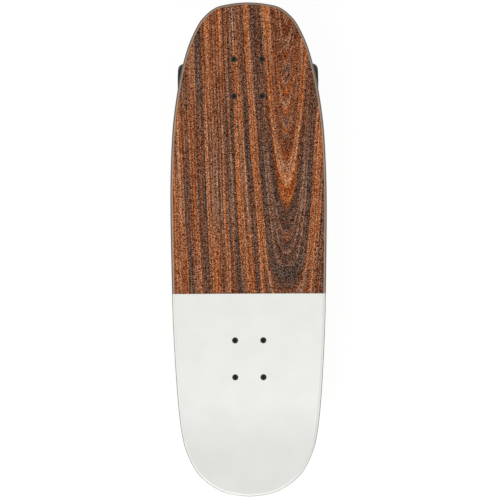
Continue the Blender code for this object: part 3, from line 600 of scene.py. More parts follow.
# %% Maple, plies and painted rail
SEAM_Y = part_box("grip_sheet_tail")[1].y
MAPLE = srgb(205, 166, 122)
TOP_PLY = srgb(182, 152, 128)
DARK_PLY = srgb(88, 70, 56)
TAN_PLY = srgb(188, 150, 110)
PLIES = [
    (0.0, TOP_PLY), (0.6, DARK_PLY), (2.9, srgb(150, 118, 88)), (4.4, DARK_PLY), (6.0, TAN_PLY),
    (7.5, DARK_PLY), (9.0, TAN_PLY),
]
BOTTOM_PLY = (9.9, 10.2)
PAINT_DEPTH = 1.5


def maple_plies():
    finish = Finish("maple_plies", roughness=0.45, coat=0.1)
    y = finish.axes()[1]
    depth = finish.add("Attribute", attribute_name="depth").outputs["Fac"]
    grain = finish.noise(1.0, 4.0, finish.stretched(320, 7, 320))
    figure = finish.noise(1.0, 2.0, finish.stretched(28, 3, 10))
    pores = finish.noise(1.0, 2.0, finish.stretched(1500, 40, 1500))
    tone = finish.sum("ADD", finish.sum("MULTIPLY", grain, 0.6), finish.sum("MULTIPLY", figure, 0.5))
    wood = finish.ramp(tone, [(0.35, srgb(176, 134, 92)), (0.55, MAPLE), (0.75, srgb(222, 188, 146))])
    wood = finish.mix(finish.between(pores, 0.62, 0.75, 0.0, 0.35), wood, srgb(140, 100, 66))
    thickness = DECK_THICKNESS / MM
    share = finish.sum("DIVIDE", depth, thickness)
    edge = finish.ramp(share, [(at / thickness, colour) for at, colour in PLIES], steps=True)
    streaks = finish.noise(1.0, 3.0, finish.stretched(60, 60, 2500))
    edge = finish.mix(finish.between(streaks, 0.3, 0.7, 0.0, 0.3), edge, srgb(90, 72, 56))
    colour = finish.mix(finish.between(depth, *BOTTOM_PLY), edge, wood)
    behind_seam = finish.sum("LESS_THAN", y, SEAM_Y)
    painted = finish.sum("MULTIPLY", behind_seam, finish.sum("LESS_THAN", depth, PAINT_DEPTH))
    finish.colour(finish.mix(painted, colour, srgb(232, 233, 228)))
    finish.rough(grain, 0.36, 0.5)
    finish.bump(grain, 0.12, 0.0002)
    return finish


hand_over(deck, "maple_deck", maple_plies(), "deck", "board", "deck")
print("deck finish: plies by depth, painted behind y =", round(SEAM_Y, 4))

# %% [markdown]
# ## The grip sheets
# The top is covered by two thin sheets that stop 4 mm short of the rail and meet in a straight seam.
# Each is the deck's outline again, inset once and freed from its rim. It is cut off at the seam by
# bisecting it, given its thickness by extruding, and then drilled, scored and pressed like the deck.

# %% Cut the sheets
SHEET_THICKNESS = 0.8 * MM
seam_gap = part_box("grip_sheet_front")[0].y - SEAM_Y


def grip_sheet(seam, towards_nose):
    """The part of the top on one side of the seam."""
    piece = copy_of(outline)
    edit(piece, "FACE", "SELECT")
    bpy.ops.mesh.inset(thickness=RAIL_ROUND)
    bpy.ops.mesh.select_all(action="INVERT")
    bpy.ops.mesh.delete(type="FACE")
    bpy.ops.mesh.select_all(action="SELECT")
    bpy.ops.mesh.bisect(
        plane_co=(0, seam, 0),
        plane_no=(0, 1, 0),
        clear_inner=towards_nose,
        clear_outer=not towards_nose,
        threshold=MEETING,
    )
    bpy.ops.mesh.select_all(action="SELECT")
    thickness = {"value": (0, 0, SHEET_THICKNESS)}
    bpy.ops.mesh.extrude_region_move(TRANSFORM_OT_translate=thickness)
    done()
    apply(piece, "WELD", merge_threshold=TOUCHING)
    edit(piece, "EDGE")
    pick(piece, "EDGE", lambda e: len(e.link_faces) == 1)
    bpy.ops.mesh.edge_face_add()
    faced_out(piece)
    place(piece, at=(0, 0, deck_top + GAP))
    cut(piece, bolt_drills([(0, 2), (4.6, 2), (4.6, -3), (0, -3)]))
    return pressed(scored(piece))


front_sheet = grip_sheet(SEAM_Y + seam_gap, True)
tail_sheet = grip_sheet(SEAM_Y, False)
for sheet in (front_sheet, tail_sheet):
    print("sheet:", len(sheet.data.polygons), "faces,", [round(s, 4) for s in sheet.dimensions])

# %% [markdown]
# ## The grain of the front sheet
# The sheet shows the growth rings of a plank sawn off centre: lines that run along the board and bend
# into a V to the right of the middle. Such rings are level lines of one field. Here it is the distance
# from a line on the right, rounded near that line and rising slowly towards the tail, and two colour
# ramps say which rings are dark. The foot of the V is closed off with a little more rise and a darker
# tone. Two streaky noises along the rings vary their tone, and a third varies how vivid they are, so
# the wood runs from grey brown to orange. Clear grit on top breaks it all up into fine speckles, which
# are painted light: painted shadows between its grains and painted glints on them.

# %% Wood-look grit
PITH_X = 55.6
PITH_WIDTH = 14.6
DRIFT = 2.5
FIELD_START_Y = 198.9
FIELD_SPAN = 180.0
V_FOOT = (220.0, 240.0)
V_RINGS = [
    (0, 0.56), (14, 0.46), (16.5, 0.66), (20, 0.48), (23.5, 0.86), (27.5, 0.92), (30, 0.18),
    (34, 0.42), (38, 0.12), (44.5, 0.18),
]
LEFT_RINGS = V_RINGS + [
    (47.5, 0.64), (56.5, 0.90), (58.5, 0.16), (63.5, 0.08), (66, 0.70), (78.5, 0.74), (80.5, 0.05),
    (83.5, 0.12), (86, 0.70), (90, 0.06), (92.5, 0.76), (98.5, 0.64), (101, 0.12), (104, 0.68),
    (119.5, 0.74), (122, 0.14), (131.5, 0.20), (135, 0.72), (143, 0.70), (145.5, 0.14), (152, 0.18),
    (155, 0.74),
]
RIGHT_RINGS = V_RINGS + [(47.5, 0.62), (53, 0.80), (60, 0.70), (62, 0.18), (72, 0.26)]
TONE_STREAKS = [(2.1, 240.0, 0.44), (1.1, 160.0, 0.18)]
VIVID_STREAKS = (1.6, 200.0, 0.3)
GRAIN_TONES = [
    (0.0, (0.24, 0.15, 0.10)), (0.25, (0.35, 0.19, 0.11)), (0.5, (0.46, 0.23, 0.11)),
    (0.75, (0.56, 0.29, 0.13)), (1.0, (0.69, 0.37, 0.17)),
]
GRAINS_PER_METRE = 1300.0
# How dark the painted grit shadows and how bright the painted grit glints get.
DARKEST_GRIT_SHADOW = 0.08
BRIGHTEST_GRIT_GLINT = 0.36


def wood_grit():
    finish = Finish("wood_look_grit", roughness=0.8, specular=0.05)
    drift = finish.between(finish.noise(1.0, 2.0, finish.stretched(12, 5, 1)), 0.0, 1.0, -DRIFT, DRIFT)
    x, y, _ = finish.axes()
    x = finish.sum("ADD", finish.sum("MULTIPLY", x, 1 / MM), drift)
    y = finish.sum("MULTIPLY", y, 1 / MM)
    offset = finish.sum("SUBTRACT", x, PITH_X)
    away = finish.sum("ABSOLUTE", offset)
    field = finish.sum("SQRT", finish.sum("ADD", finish.sum("POWER", away, 2.0), PITH_WIDTH**2))
    near = finish.between(away, 0.0, 30.0, 0.039, 0.0, smooth=True)
    rise = finish.sum("ADD", near, finish.between(away, 40.0, 95.0, 0.066, 0.028, smooth=True))
    rise = finish.sum("ADD", rise, finish.between(away, 95.0, 125.0, 0.0, 0.008, smooth=True))
    towards_tail = finish.sum("SUBTRACT", FIELD_START_Y, y)
    field = finish.sum("ADD", finish.sum("MULTIPLY", towards_tail, rise), field)
    closing = finish.between(towards_tail, *V_FOOT, smooth=True)
    inside = finish.between(away, 12.0, 40.0, 1.0, 0.0, smooth=True)
    foot = finish.sum("MULTIPLY", closing, inside)
    field = finish.sum("ADD", field, finish.sum("MULTIPLY", foot, 3.5))

    def streaks(width, length, low, high, seed=0.0):
        """Noise drawn out along the rings."""
        place = finish.point(finish.sum("DIVIDE", field, width), finish.sum("DIVIDE", y, length), seed)
        return finish.between(finish.noise(1.0, 2.0, place), 0.37, 0.63, low, high)

    share = finish.sum("DIVIDE", field, FIELD_SPAN)
    rings = [
        finish.ramp(share, [(at / FIELD_SPAN, tone) for at, tone in stops])
        for stops in (LEFT_RINGS, RIGHT_RINGS)
    ]
    tone = finish.mix(finish.between(offset, -5.0, 5.0, smooth=True), *rings)
    calm = finish.between(away, 5.0, 40.0, 0.75, 1.0, smooth=True)
    for width, length, strength in TONE_STREAKS:
        streak = streaks(width, length, -strength, strength)
        tone = finish.sum("ADD", tone, finish.sum("MULTIPLY", streak, calm))
    tone = finish.sum("SUBTRACT", tone, finish.sum("MULTIPLY", foot, 0.34))
    width, length, strength = VIVID_STREAKS
    vivid = streaks(width, length, 1 - strength, 1 + strength, 7.0)
    greyer = finish.sum("MULTIPLY", inside, finish.between(towards_tail, 80.0, 200.0, -0.05, 0.05))
    vivid = finish.sum("SUBTRACT", vivid, greyer)
    colour = finish.fed("HueSaturation", {"Saturation": vivid, "Color": finish.ramp(tone, GRAIN_TONES)})
    grit = finish.axes(finish.cells(GRAINS_PER_METRE))[0]
    # Half the grit cells are darkened by a painted shadow and the other half lightened by a painted glint,
    # in place of the light and shade of real grains.
    painted_grit_shadow = finish.between(grit, 0.0, 0.5, DARKEST_GRIT_SHADOW, 1.0)
    painted_grit_glint = finish.between(grit, 0.5, 1.0, 0.0, BRIGHTEST_GRIT_GLINT)
    speckled = finish.mix(1.0, finish.mix(1.0, colour, painted_grit_shadow, blend="MULTIPLY"), painted_grit_glint, blend="ADD")
    finish.colour(finish.fed("Gamma", {"Color": speckled, "Gamma": 2.2}))
    finish.rough(grit, 0.9, 0.6, 0.0, 1.0)
    finish.bump(finish.cells(GRAINS_PER_METRE, "Distance"), 0.35, 0.0003)
    return finish


hand_over(front_sheet, "wood_look_sheet", wood_grit(), "front_sheet", "board", "grip_sheet_front")
print("ring field over", FIELD_SPAN, "mm")

# %% [markdown]
# ## The white tail
# The tail sheet is plain: an off-white film with a fine, even tooth. Its colour barely changes, so the
# tree keeps to a very faint mottling and a fine bump that takes the shine off.

# %% White film
def white_film():
    finish = Finish("white_film", roughness=0.6, specular=0.3)
    mottle = finish.noise(30.0, 3.0)
    tooth = finish.noise(2600.0, 2.0)
    tone = finish.sum("ADD", finish.sum("MULTIPLY", mottle, 0.7), finish.sum("MULTIPLY", tooth, 0.3))
    finish.colour(finish.ramp(tone, [(0.3, srgb(231, 232, 227)), (0.7, srgb(237, 238, 233))]))
    finish.rough(tooth, 0.52, 0.68)
    finish.bump(tooth, 0.2, 0.0002)
    return finish


hand_over(tail_sheet, "white_sheet", white_film(), "tail_sheet", "board", "grip_sheet_tail")
clear(outline, press)
print("sheets are on")

# %% [markdown]
# ## Threads and hexagons
# A screw thread this fine reads as a row of ridges, so it is turned as a zigzag in the profile. A nut
# is turned too: first the round body with its chamfers and collar, and then a six-sided bar is what
# remains of it, just as a nut is cut from hexagon bar.

# %% Thread and nut helpers
COS_30 = math.cos(math.radians(30))


def thread(radius, depth, pitch, start, end):
    """Ridges of a thread from one height to another, as profile points."""
    count = int(abs(end - start) / pitch)
    step = math.copysign(pitch, end - start)
    points = []
    for turn in range(count):
        points += [(radius, start + step * turn), (radius - depth, start + step * (turn + 0.5))]
    return points


def hexagonal(piece, corner, start, end):
    """What remains of a turned piece inside a hexagonal bar."""
    return cut(piece, drill(corner, start, end, steps=6), operation="INTERSECT")


def lock_nut(corner, bore, height, metal, nylon):
    """A hex nut from 0 up, its collar holding a nylon ring that grips the thread."""
    flat = corner * COS_30
    hex_top = height * 0.72
    collar = flat * 0.88
    lip = flat * 0.76
    insert = (lip + bore) / 2 + 0.2
    body = lathe(
        [
            (0, 0), (flat * 0.96, 0), (corner, corner - flat * 0.96), (corner, hex_top - 0.3),
            (flat * 0.97, hex_top), (collar, hex_top), (collar, height * 0.9),
            (flat * 0.82, height * 0.98), (lip, height), (0, height),
        ]
    )
    hexagonal(body, corner, -1, height + 1)
    hole = [
        (0, -1), (bore + 0.5, -1), (bore, 0.4), (bore, height * 0.74), (insert, height * 0.76),
        (insert, height + 1), (0, height + 1),
    ]
    cut(body, lathe(hole, 32))
    rounded(body, 0.12 * MM, 2, 25)
    body.data.materials.append(metal.material)
    grip = [
        (bore - 0.15, height * 0.8), (insert, height * 0.8), (insert, height * 0.96),
        (bore + 0.2, height * 0.96),
    ]
    ring = smooth(lathe(grip, 32, closed=True))
    ring.data.materials.append(nylon.material)
    return join(body, ring)


print("a 0.8 mm thread over 10 mm has", len(thread(2.4, 0.4, 0.8, 0, 10)) // 2, "turns")

# %% [markdown]
# ## Metal and nylon
# Four metals are on the board. Black oxide on the truck bolts is dark and slightly uneven, and their
# sockets, which all lie at one height, are darkened further with painted shade. Zinc on kingpin, axle
# and nuts is pale and a little cloudy. Bearing steel is ground and bright, and the cast trucks have a
# black powder coat with its orange-peel surface. Nut inserts are milky nylon. One function makes them all.

# %% Small finishes
def cloudy(name, clouds, tones, rough=(), bump=(), **shine):
    """A finish whose colour and roughness drift with soft clouds, under a fine bump."""
    finish = Finish(name, **shine)
    cloud = finish.noise(*clouds)
    finish.colour(finish.ramp(cloud, [(place, srgb(*tone)) for place, tone in tones]))
    if rough:
        finish.rough(cloud, *rough)
    if bump:
        size, detail, strength, height = bump
        finish.bump(finish.noise(size, detail), strength, height)
    return finish


SOCKET_MIDDLE = bolt_top - 1.9 * MM

oxide = cloudy(
    "black_oxide", (700.0, 3.0), [(0.3, (38, 37, 33)), (0.7, (54, 52, 47))],
    (0.34, 0.5), (3000.0, 2.0, 0.1, 0.0001), roughness=0.42, specular=0.1,
)
film = oxide.shader.inputs["Base Color"].links[0].from_socket
# A band round the sockets' height is darkened: painted shade in the recess of each socket.
from_middle = oxide.sum("ABSOLUTE", oxide.sum("SUBTRACT", oxide.axes()[2], SOCKET_MIDDLE))
painted_socket_shade = oxide.between(from_middle, 1.4 * MM, 1.85 * MM, 0.05, 1.0)
oxide.colour(oxide.mix(1.0, film, painted_socket_shade, blend="MULTIPLY"))
plated = cloudy(
    "zinc_plate", (260.0, 4.0), [(0.3, (176, 176, 172)), (0.7, (206, 206, 203))],
    bump=(2400.0, 2.0, 0.06, 0.0001), roughness=0.32, metallic=1.0,
)
plated.rough(plated.noise(1800.0, 2.0), 0.26, 0.42)
ground = cloudy(
    "bearing_steel", (500.0, 3.0), [(0.3, (186, 188, 190)), (0.7, (212, 213, 215))],
    (0.15, 0.27), roughness=0.2, metallic=1.0,
)
coat = cloudy(
    "black_powder_coat", (60.0, 3.0), [(0.35, (33, 33, 34)), (0.65, (44, 44, 45))],
    (0.36, 0.48), (900.0, 2.0, 0.3, 0.0002), roughness=0.42,
)
nylon = cloudy(
    "milky_nylon", (400.0, 2.0), [(0.3, (206, 204, 196)), (0.7, (226, 224, 216))],
    roughness=0.5, specular=0.4,
)
print("finishes:", [finish.material.name for finish in (oxide, plated, ground, coat, nylon)])

# %% [markdown]
# ## Truck bolts
# Four countersunk bolts hold each truck through sheet, deck, riser and baseplate. One is turned, its
# hexagon socket is cut with a six-sided bar, and it is copied to the eight places on the board.

# %% Bolts and their lock nuts
bolt = lathe(
    [(0, 0), (4.1, 0), (4.3, -0.12), (4.3, -0.4), (2.5, -2.7), (2.4, -2.9), (2.4, -13.0)]
    + thread(2.4, 0.38, 0.8, -13.2, -28.0)
    + [(2.0, -28.3), (1.8, -28.6), (0, -28.6)],
    24,
)
cut(bolt, drill(1.85, -2.0, 1, steps=6), lathe([(0, -3.2), (1.5, -2.0), (1.5, -1.9), (0, -1.9)], 12))
smooth(bolt)
nut = lock_nut(5.5, 2.45, 5.6, oxide, nylon)
NUT_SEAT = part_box("front_baseplate")[1].z - 5.4 * MM
already = len(made)
for end, places in BOLTS.items():
    for number, (x, y) in enumerate(places, start=1):
        piece = place(copy_of(bolt), turn=(0, 0, 17 * number), at=(x, y, bolt_top))
        hand_over(piece, f"{end}_bolt_{number}", oxide, "bolts", "board", f"{end}_deck_bolt_{number}")
        piece = place(copy_of(nut), turn=(180, 0, 23 * number), at=(x, y, NUT_SEAT))
        hand_over(piece, f"{end}_bolt_nut_{number}", oxide, "bolts", "board")
clear(bolt, nut)
print("bolts and nuts:", len(made) - already)

# %% [markdown]
# ## The bench
# A truck is the same at both ends of the board, only turned round. So each of its pieces is made once
# on a bench, as the truck lies upside down: y runs towards the middle of the board and z away from the
# deck. Then copies go to the front and the rear. Two of its axes lean: the kingpin's by 20 degrees and
# the pivot's by 35, measured from square to the deck.

# %% From the bench to the board
KINGPIN_LEAN = 20
PIVOT_LEAN = 35
SEAT = Vector((0, 10.207 * MM, 19.21 * MM))
PIVOT = Vector((0, -21.0 * MM, 11.0 * MM))
AXLE = Vector((0, 3.0 * MM, 53.0 * MM))
TRUCK_TURNS = {"front": (180, 0, 0), "rear": (0, 180, 0)}
truck_origin = {end: Vector((0, truck_y[end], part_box(f"{end}_baseplate")[1].z)) for end in ENDS}


def on_kingpin(piece):
    return place(piece, turn=(-KINGPIN_LEAN, 0, 0), at=SEAT)


def in_pivot(piece):
    return place(piece, turn=(-PIVOT_LEAN, 0, 0), at=PIVOT)


def to_board(piece, end):
    """A copy of a bench piece, on the front or the rear truck."""
    return place(copy_of(piece), turn=TRUCK_TURNS[end], at=truck_origin[end])


def to_both_trucks(piece, name, finish, slot, body="board", node=""):
    """Puts a bench piece on both trucks and clears the bench."""
    for end in ENDS:
        nodes = [f"{end}_{node}"] if node else []
        on = body if body == "board" else f"{end}_{body}"
        hand_over(to_board(piece, end), f"{end}_{name}", finish, slot, on, *nodes)
    clear(piece)


for end, origin in truck_origin.items():
    print(end, "truck at", [round(part, 4) for part in origin])

# %% [markdown]
# ## Riser pads
# A rubber pad between truck and deck takes up shocks and gives the wheels room. It starts as a box whose
# upright edges are rounded, and gets a window over the kingpin's head and four holes.

# %% Cut the risers
PLATE_WIDTH = 56
PLATE_LENGTH = 82
PLATE_CORNER = 8


def plate(width, length, start, end, corner):
    """A flat plate with rounded corners, from one height to another, in millimetres."""
    bpy.ops.mesh.primitive_cube_add(size=MM, location=(0, 0, 0))
    piece = bpy.context.object
    piece.scale = (width, length, end - start)
    place(piece, at=(0, 0, (start + end) / 2 * MM))
    edit(piece, "EDGE")
    pick(piece, "EDGE", lambda e: abs(e.verts[0].co.z - e.verts[1].co.z) > (end - start) / 2 * MM)
    bpy.ops.mesh.bevel(offset=corner * MM, segments=8, affect="EDGES")
    done()
    return piece


def truck_drills(radius, start, end):
    """Four round cutters at a truck's holes, on the bench."""
    spots = [(x, y, 0) for x in (-BOLT_X, BOLT_X) for y in (-BOLT_Y, BOLT_Y)]
    return join(*[place(drill(radius, start, end, 24), at=spot) for spot in spots])


riser = plate(PLATE_WIDTH, PLATE_LENGTH, -3.5, -0.3, PLATE_CORNER)
cut(riser, plate(22, 30, -6, 3, 5.5), truck_drills(2.7, -6, 3))
rounded(riser, 0.3 * MM)
rubber = cloudy(
    "black_rubber", (45.0, 4.0), [(0.35, (28, 28, 28)), (0.7, (48, 47, 46))],
    (0.68, 0.85), roughness=0.75, specular=0.3,
)
rubber.bump(rubber.cells(1500.0, "Distance"), 0.25, 0.0002)
to_both_trucks(riser, "riser", rubber, "riser", node="riser_pad")
print("risers are on")

# %% [markdown]
# ## Castings
# Baseplate and hanger are poured in aluminium. A casting has no sharp inner corners: its plates, bosses
# and ribs flow into each other. To get that, rough solids are pushed together, a voxel remesh turns
# them into one skin and a smoothing rounds every crease. Bores are machined afterwards and stay crisp.

# %% A cast skin
def hull(points):
    """The smallest convex solid round points in millimetres and their mirror images."""
    piece = trace([(side * x * MM, y * MM, z * MM) for side in (-1, 1) for x, y, z in points])
    bpy.ops.mesh.convex_hull()
    return faced_out(piece)


def cast(piece, voxel, rounds):
    """One smooth skin round solids that overlap."""
    apply(piece, "REMESH", mode="VOXEL", voxel_size=voxel * MM, adaptivity=0.0)
    apply(piece, "SMOOTH", factor=0.5, iterations=rounds)
    return piece


print("castings: remesh and smooth")

# %% [markdown]
# ## The baseplate
# The flange lies against the riser. On it stand the round seat that the kingpin leans out of, the boss
# with the pivot cup, and a rib between them. Low pads carry the four lock nuts.

# %% Cast and machine the baseplate
flange = rounded(plate(PLATE_WIDTH, PLATE_LENGTH, -2, 5, PLATE_CORNER), 1.2 * MM, 3)
seat = on_kingpin(lathe([(0, -21), (16.5, -21), (15.4, -13), (13.4, -1.0), (13.1, 0), (0, 0)]))
boss = in_pivot(lathe([(0, -9.3), (9.2, -9.3), (10.1, -8), (9.9, 1.4), (9.4, 2.0), (0, 2.0)]))
rib = hull([(7.3, -28.3, 1.2), (6.0, -21.0, 6.6), (6.5, 3.2, 11.5), (8.5, 3.2, 1.2)])
baseplate = cast(join(flange, seat, boss, rib, truck_drills(6.6, 2.0, 5.5)), 0.65, 7)
edit(baseplate, action="SELECT")
bpy.ops.mesh.bisect(plane_co=(0, 0, 0), plane_no=(0, 0, 1), clear_inner=True, use_fill=True)
done()
pocket = on_kingpin(drill(8.85, -40, -9.7, steps=6))
bore = on_kingpin(drill(5.06, -40, 30))
cup_hole = in_pivot(drill(7.6, -7.1, 20))
cut(baseplate, join(pocket, cup_hole), join(bore, truck_drills(2.7, -5, 10)))
smooth(baseplate, 40)
print("baseplate:", len(baseplate.data.polygons), "faces")
to_both_trucks(baseplate, "baseplate_casting", coat, "casting", node="baseplate")

# %% [markdown]
# ## The hanger
# The hanger carries the axle and is the part that steers. A beam is turned round the axle, a shin runs
# from it to a ball in the pivot cup, webs spread to the ring that the bushings squeeze. The shin is a
# Bezier curve with a thickness of its own at each point.

# %% Cast and machine the hanger
SHIN = [
    (-23.2, 7.9, 4.2), (-21.0, 11.0, 5.2), (-15.8, 18.4, 6.2),
    (-10.0, 28.5, 7.5), (-5.0, 42.0, 8.3), (3.0, 53.0, 6.8),
]
half_beam = [
    (7.6, 0), (7.6, 7), (8.4, 13), (9.4, 20), (9.3, 26), (8.7, 33), (8.3, 42), (8.2, 58), (8.5, 61),
    (8.5, 68.9), (7.7, 69.85), (0, 69.85),
]
beam = place(lathe(mirrored(half_beam) + half_beam[1:]), turn=(0, 90, 0), at=AXLE)

bpy.ops.curve.primitive_bezier_curve_add()
shin = bpy.context.object
shin.data.bevel_depth = MM
shin.data.bevel_resolution = 6
shin.data.use_fill_caps = True
knots = shin.data.splines[0].bezier_points
knots.add(len(SHIN) - 2)
for knot, (y, z, radius) in zip(knots, SHIN):
    knot.co = (0, y * MM, z * MM)
    knot.radius = radius
    knot.handle_left_type = knot.handle_right_type = "AUTO"
bpy.ops.object.convert(target="MESH")

ring = on_kingpin(lathe([(0, 15.1), (14.6, 15.1), (15.2, 15.7), (15.2, 21.1), (14.6, 21.7), (0, 21.7)]))
webs = hull(
    [
        (14.6, 15.75, 34.4), (14.6, 17.25, 38.6), (10.3, 6.0, 38.0), (10.3, 7.6, 42.1),
        (34.9, -3.0, 47.0), (34.9, -3.0, 56.0), (34.9, 6.0, 47.0),
    ]
)
hanger = cast(join(beam, shin, ring, webs), 0.62, 6)
board_room = on_kingpin(drill(13.8, -20.9, 15.9, 64))
road_room = on_kingpin(
    lathe([(0, 20.9), (13.4, 20.9), (11.5, 29.9), (12.1, 43.8), (12.1, 90), (0, 90)], 64)
)
bore = on_kingpin(drill(8.0, 0, 43.8))
axle_hole = place(drill(4.15, -100, 100), turn=(0, 90, 0), at=AXLE)
cut(hanger, board_room, road_room, bore, axle_hole)
smooth(hanger, 40)
print("hanger:", len(hanger.data.polygons), "faces")
to_both_trucks(hanger, "hanger_casting", coat, "casting", "hanger_body", "hanger")

# %% [markdown]
# ## Kingpin, bushings and washers
# The kingpin clamps the ring of the hanger between two urethane bushings. Cupped washers hold the
# bushings' ends. Tightening the nut squeezes the bushings, and that makes the truck harder to steer.

# %% Turn the kingpin stack
kingpin = lathe(
    [(0, -15.5), (7.4, -15.5), (8.25, -15.0), (8.25, -10.4), (7.7, -10), (4.76, -10), (4.76, 30)]
    + thread(4.76, 0.45, 1.06, 30.2, 42.6)
    + [(4.1, 43.8), (0, 43.8)]
)
kingpin = smooth(hexagonal(kingpin, 8.25, -20, 50))
to_both_trucks(on_kingpin(kingpin), "kingpin_bolt", plated, "steel", node="kingpin")

kingpin_nut = place(lock_nut(8.25, 5.06, 9.5, plated, nylon), turn=(0, 0, 11), at=(0, 0, 33.3 * MM))
to_both_trucks(on_kingpin(kingpin_nut), "kingpin_lock_nut", plated, "steel", node="kingpin_nut")

board_washer = lathe(
    [
        (5.06, 0.3), (12.9, 0.3), (13.35, 0.7), (13.4, 3.1), (13.1, 3.4), (12.85, 3.1), (12.75, 2.1),
        (12.4, 1.8), (5.06, 1.8),
    ],
    closed=True,
)
to_both_trucks(on_kingpin(smooth(board_washer)), "board_washer", plated, "steel")

road_washer = lathe(
    [
        (5.06, 31.5), (9.4, 31.5), (9.75, 31.2), (10.1, 30.1), (10.5, 29.9), (10.85, 30.2), (10.9, 32.3),
        (10.3, 33.0), (5.06, 33.0),
    ],
    closed=True,
)
to_both_trucks(on_kingpin(smooth(road_washer)), "road_washer_cup", plated, "steel", node="road_washer")
print("kingpins are in")

# %% [markdown]
# ## Urethane that gives
# When the hanger steers, the bushings are squeezed on one side. Their ends stay with the washer and
# the ring, and the urethane between them follows smoothly. Each bushing is turned with several rows
# between its ends and put on both trucks.

# %% Turn the bushings
bushing_urethane = cloudy(
    "bushing_urethane", (120.0, 3.0), [(0.35, (26, 26, 26)), (0.65, (36, 36, 36))],
    (0.33, 0.47), (1600.0, 2.0, 0.15, 0.0001), roughness=0.4, specular=0.4,
)
foot = [(5.06, 0.3), (5.36, 0), (11.3, 0), (11.75, 0.25), (12.0, 0.8)]
barrel = [
    (12.3, 2.5), (12.45, 4.5), (12.5, 6.75), (12.45, 9.0), (12.3, 11.0), (12.0, 12.7), (11.75, 13.25),
    (11.3, 13.5), (5.36, 13.5), (5.06, 13.2), (5.06, 9), (5.06, 4.5),
]
cone = [
    (11.9, 2.2), (11.6, 4.0), (11.1, 5.8), (10.4, 7.5), (9.7, 8.9), (9.4, 9.6), (9.0, 10), (5.36, 10),
    (5.06, 9.7), (5.06, 6.5), (5.06, 3.5),
]
BUSHINGS = {"board": (foot + barrel, 2.1, 15.6), "road": (foot + cone, 31.2, 21.2)}
for name, (profile, *ends) in BUSHINGS.items():
    bench_piece = smooth(lathe(profile, closed=True))
    on_kingpin(place(bench_piece, at=(0, 0, min(ends) * MM)))
    for end in ENDS:
        piece = to_board(bench_piece, end)
        piece.name = f"{end}_{name}_urethane"
        piece.data.materials.append(bushing_urethane.material)
        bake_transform(piece)
        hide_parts(f"{end}_{name}_bushing")
    clear(bench_piece)

cup = lathe(
    [(0, -6.8), (6.9, -6.8), (7.3, -6.4), (7.3, 1.6), (7.0, 2.0), (6.6, 2.0), (6.2, 1.5), (5.9, 0.7)]
    + arc(0, 0, 5.8, 0, -90, 8)
)
cup = in_pivot(smooth(cup))
to_both_trucks(cup, "pivot_urethane", bushing_urethane, "bushing_urethane", node="pivot_cup")
print("bushings blend over", [ends for _, *ends in BUSHINGS.values()])

# %% [markdown]
# ## Axles and their nuts
# A steel bar runs right through the hanger. Its ends are threaded for lock nuts, and a thin speed washer
# lies on each side of a wheel's bearings, so that the bearing turns freely against hanger and nut.

# %% Turn axles, nuts and speed washers
AXLE_NUT_X = 95.85
WASHERS = {"inner": 69.85, "outer": 94.85}
SIDES = {"left": -1, "right": 1}
axle_middle = {end: middle(f"{end}_axle") for end in ENDS}


def to_all_wheels(piece, x, name, finish, slot, body, node="", facing=1):
    """Copies a piece to one distance along each half axle, facing outwards, or inwards with -1."""
    for end in ENDS:
        for side, sign in SIDES.items():
            label = f"{end}_{side}"
            at = (sign * x * MM, *axle_middle[end][1:])
            copy = place(copy_of(piece), turn=(0, 90 * sign * facing, 0), at=at)
            on = f"{end}_{body}" if body == "hanger_body" else f"{label}_{body}"
            nodes = [f"{label}_{node}"] if node else []
            hand_over(copy, f"{label}_{name}", finish, slot, on, *nodes)


half_axle = [(4.0, 0), (4.0, 92)] + thread(3.98, 0.42, 1.06, 92.4, 103.6) + [(3.4, 104.8), (0, 104.8)]
axle = smooth(lathe(mirrored(half_axle) + half_axle[1:], 32))
place(axle, turn=(0, 90, 0), at=AXLE)
to_both_trucks(axle, "axle_bar", plated, "steel", "hanger_body", "axle")

axle_nut = lock_nut(7.33, 4.1, 6.5, plated, nylon)
to_all_wheels(axle_nut, AXLE_NUT_X, "lock_nut", plated, "steel", "hanger_body", "axle_nut")
speed_washer = lathe(
    [(4.3, 0.1), (4.2, 0.25), (4.2, 0.75), (4.3, 0.9), (7.0, 0.9), (7.15, 0.75), (7.15, 0.25), (7.0, 0.1)],
    closed=True,
)
smooth(speed_washer)
for where, x in WASHERS.items():
    to_all_wheels(speed_washer, x, f"{where}_speed_washer", plated, "steel", "hanger_body")
clear(axle_nut, speed_washer)
print("axles at y =", {end: round(y, 4) for end, (_, y, _) in axle_middle.items()})

# %% [markdown]
# ## Bearings
# Two bearings of size 608 sit in each wheel. The outer ring and its shield turn with the wheel, the
# inner rings and the spacer between them stay with the axle, and seven balls in their cage run round
# between. Only the shield and the end of the inner ring show, but the rest is there too.

# %% Turn the bearings
BALLS = 7
BALL_RADIUS = 1.98 * MM
BALL_TRACK = 7.5 * MM

shell = lathe(
    [
        (10.05, 0.3), (10.35, 0), (10.7, 0), (11.0, 0.3), (11.0, 6.7), (10.7, 7.0), (10.2, 7.0),
        (10.05, 6.85), (9.85, 6.5), (9.5, 6.5), (9.25, 6.8), (7.3, 6.8), (7.0, 6.6), (6.55, 6.6),
        (6.55, 6.35), (7.3, 6.4), (9.3, 6.4), (10.05, 6.2),
    ],
    closed=True,
)
smooth(shell, 50)
core = lathe(
    [
        (4.3, -11.7), (4.6, -12), (4.95, -12), (5.22, -11.7), (5.22, -5.0), (5.9, -5.0), (6.2, -4.7),
        (6.2, 4.7), (5.9, 5.0), (5.22, 5.0), (5.22, 11.7), (4.95, 12), (4.6, 12), (4.3, 11.7),
    ],
    closed=True,
)
smooth(core)
cage = lathe([(6.95, 2.1), (7.15, 1.9), (7.85, 1.9), (8.05, 2.1), (8.05, 3.5), (6.95, 3.5)], closed=True)
balls = []
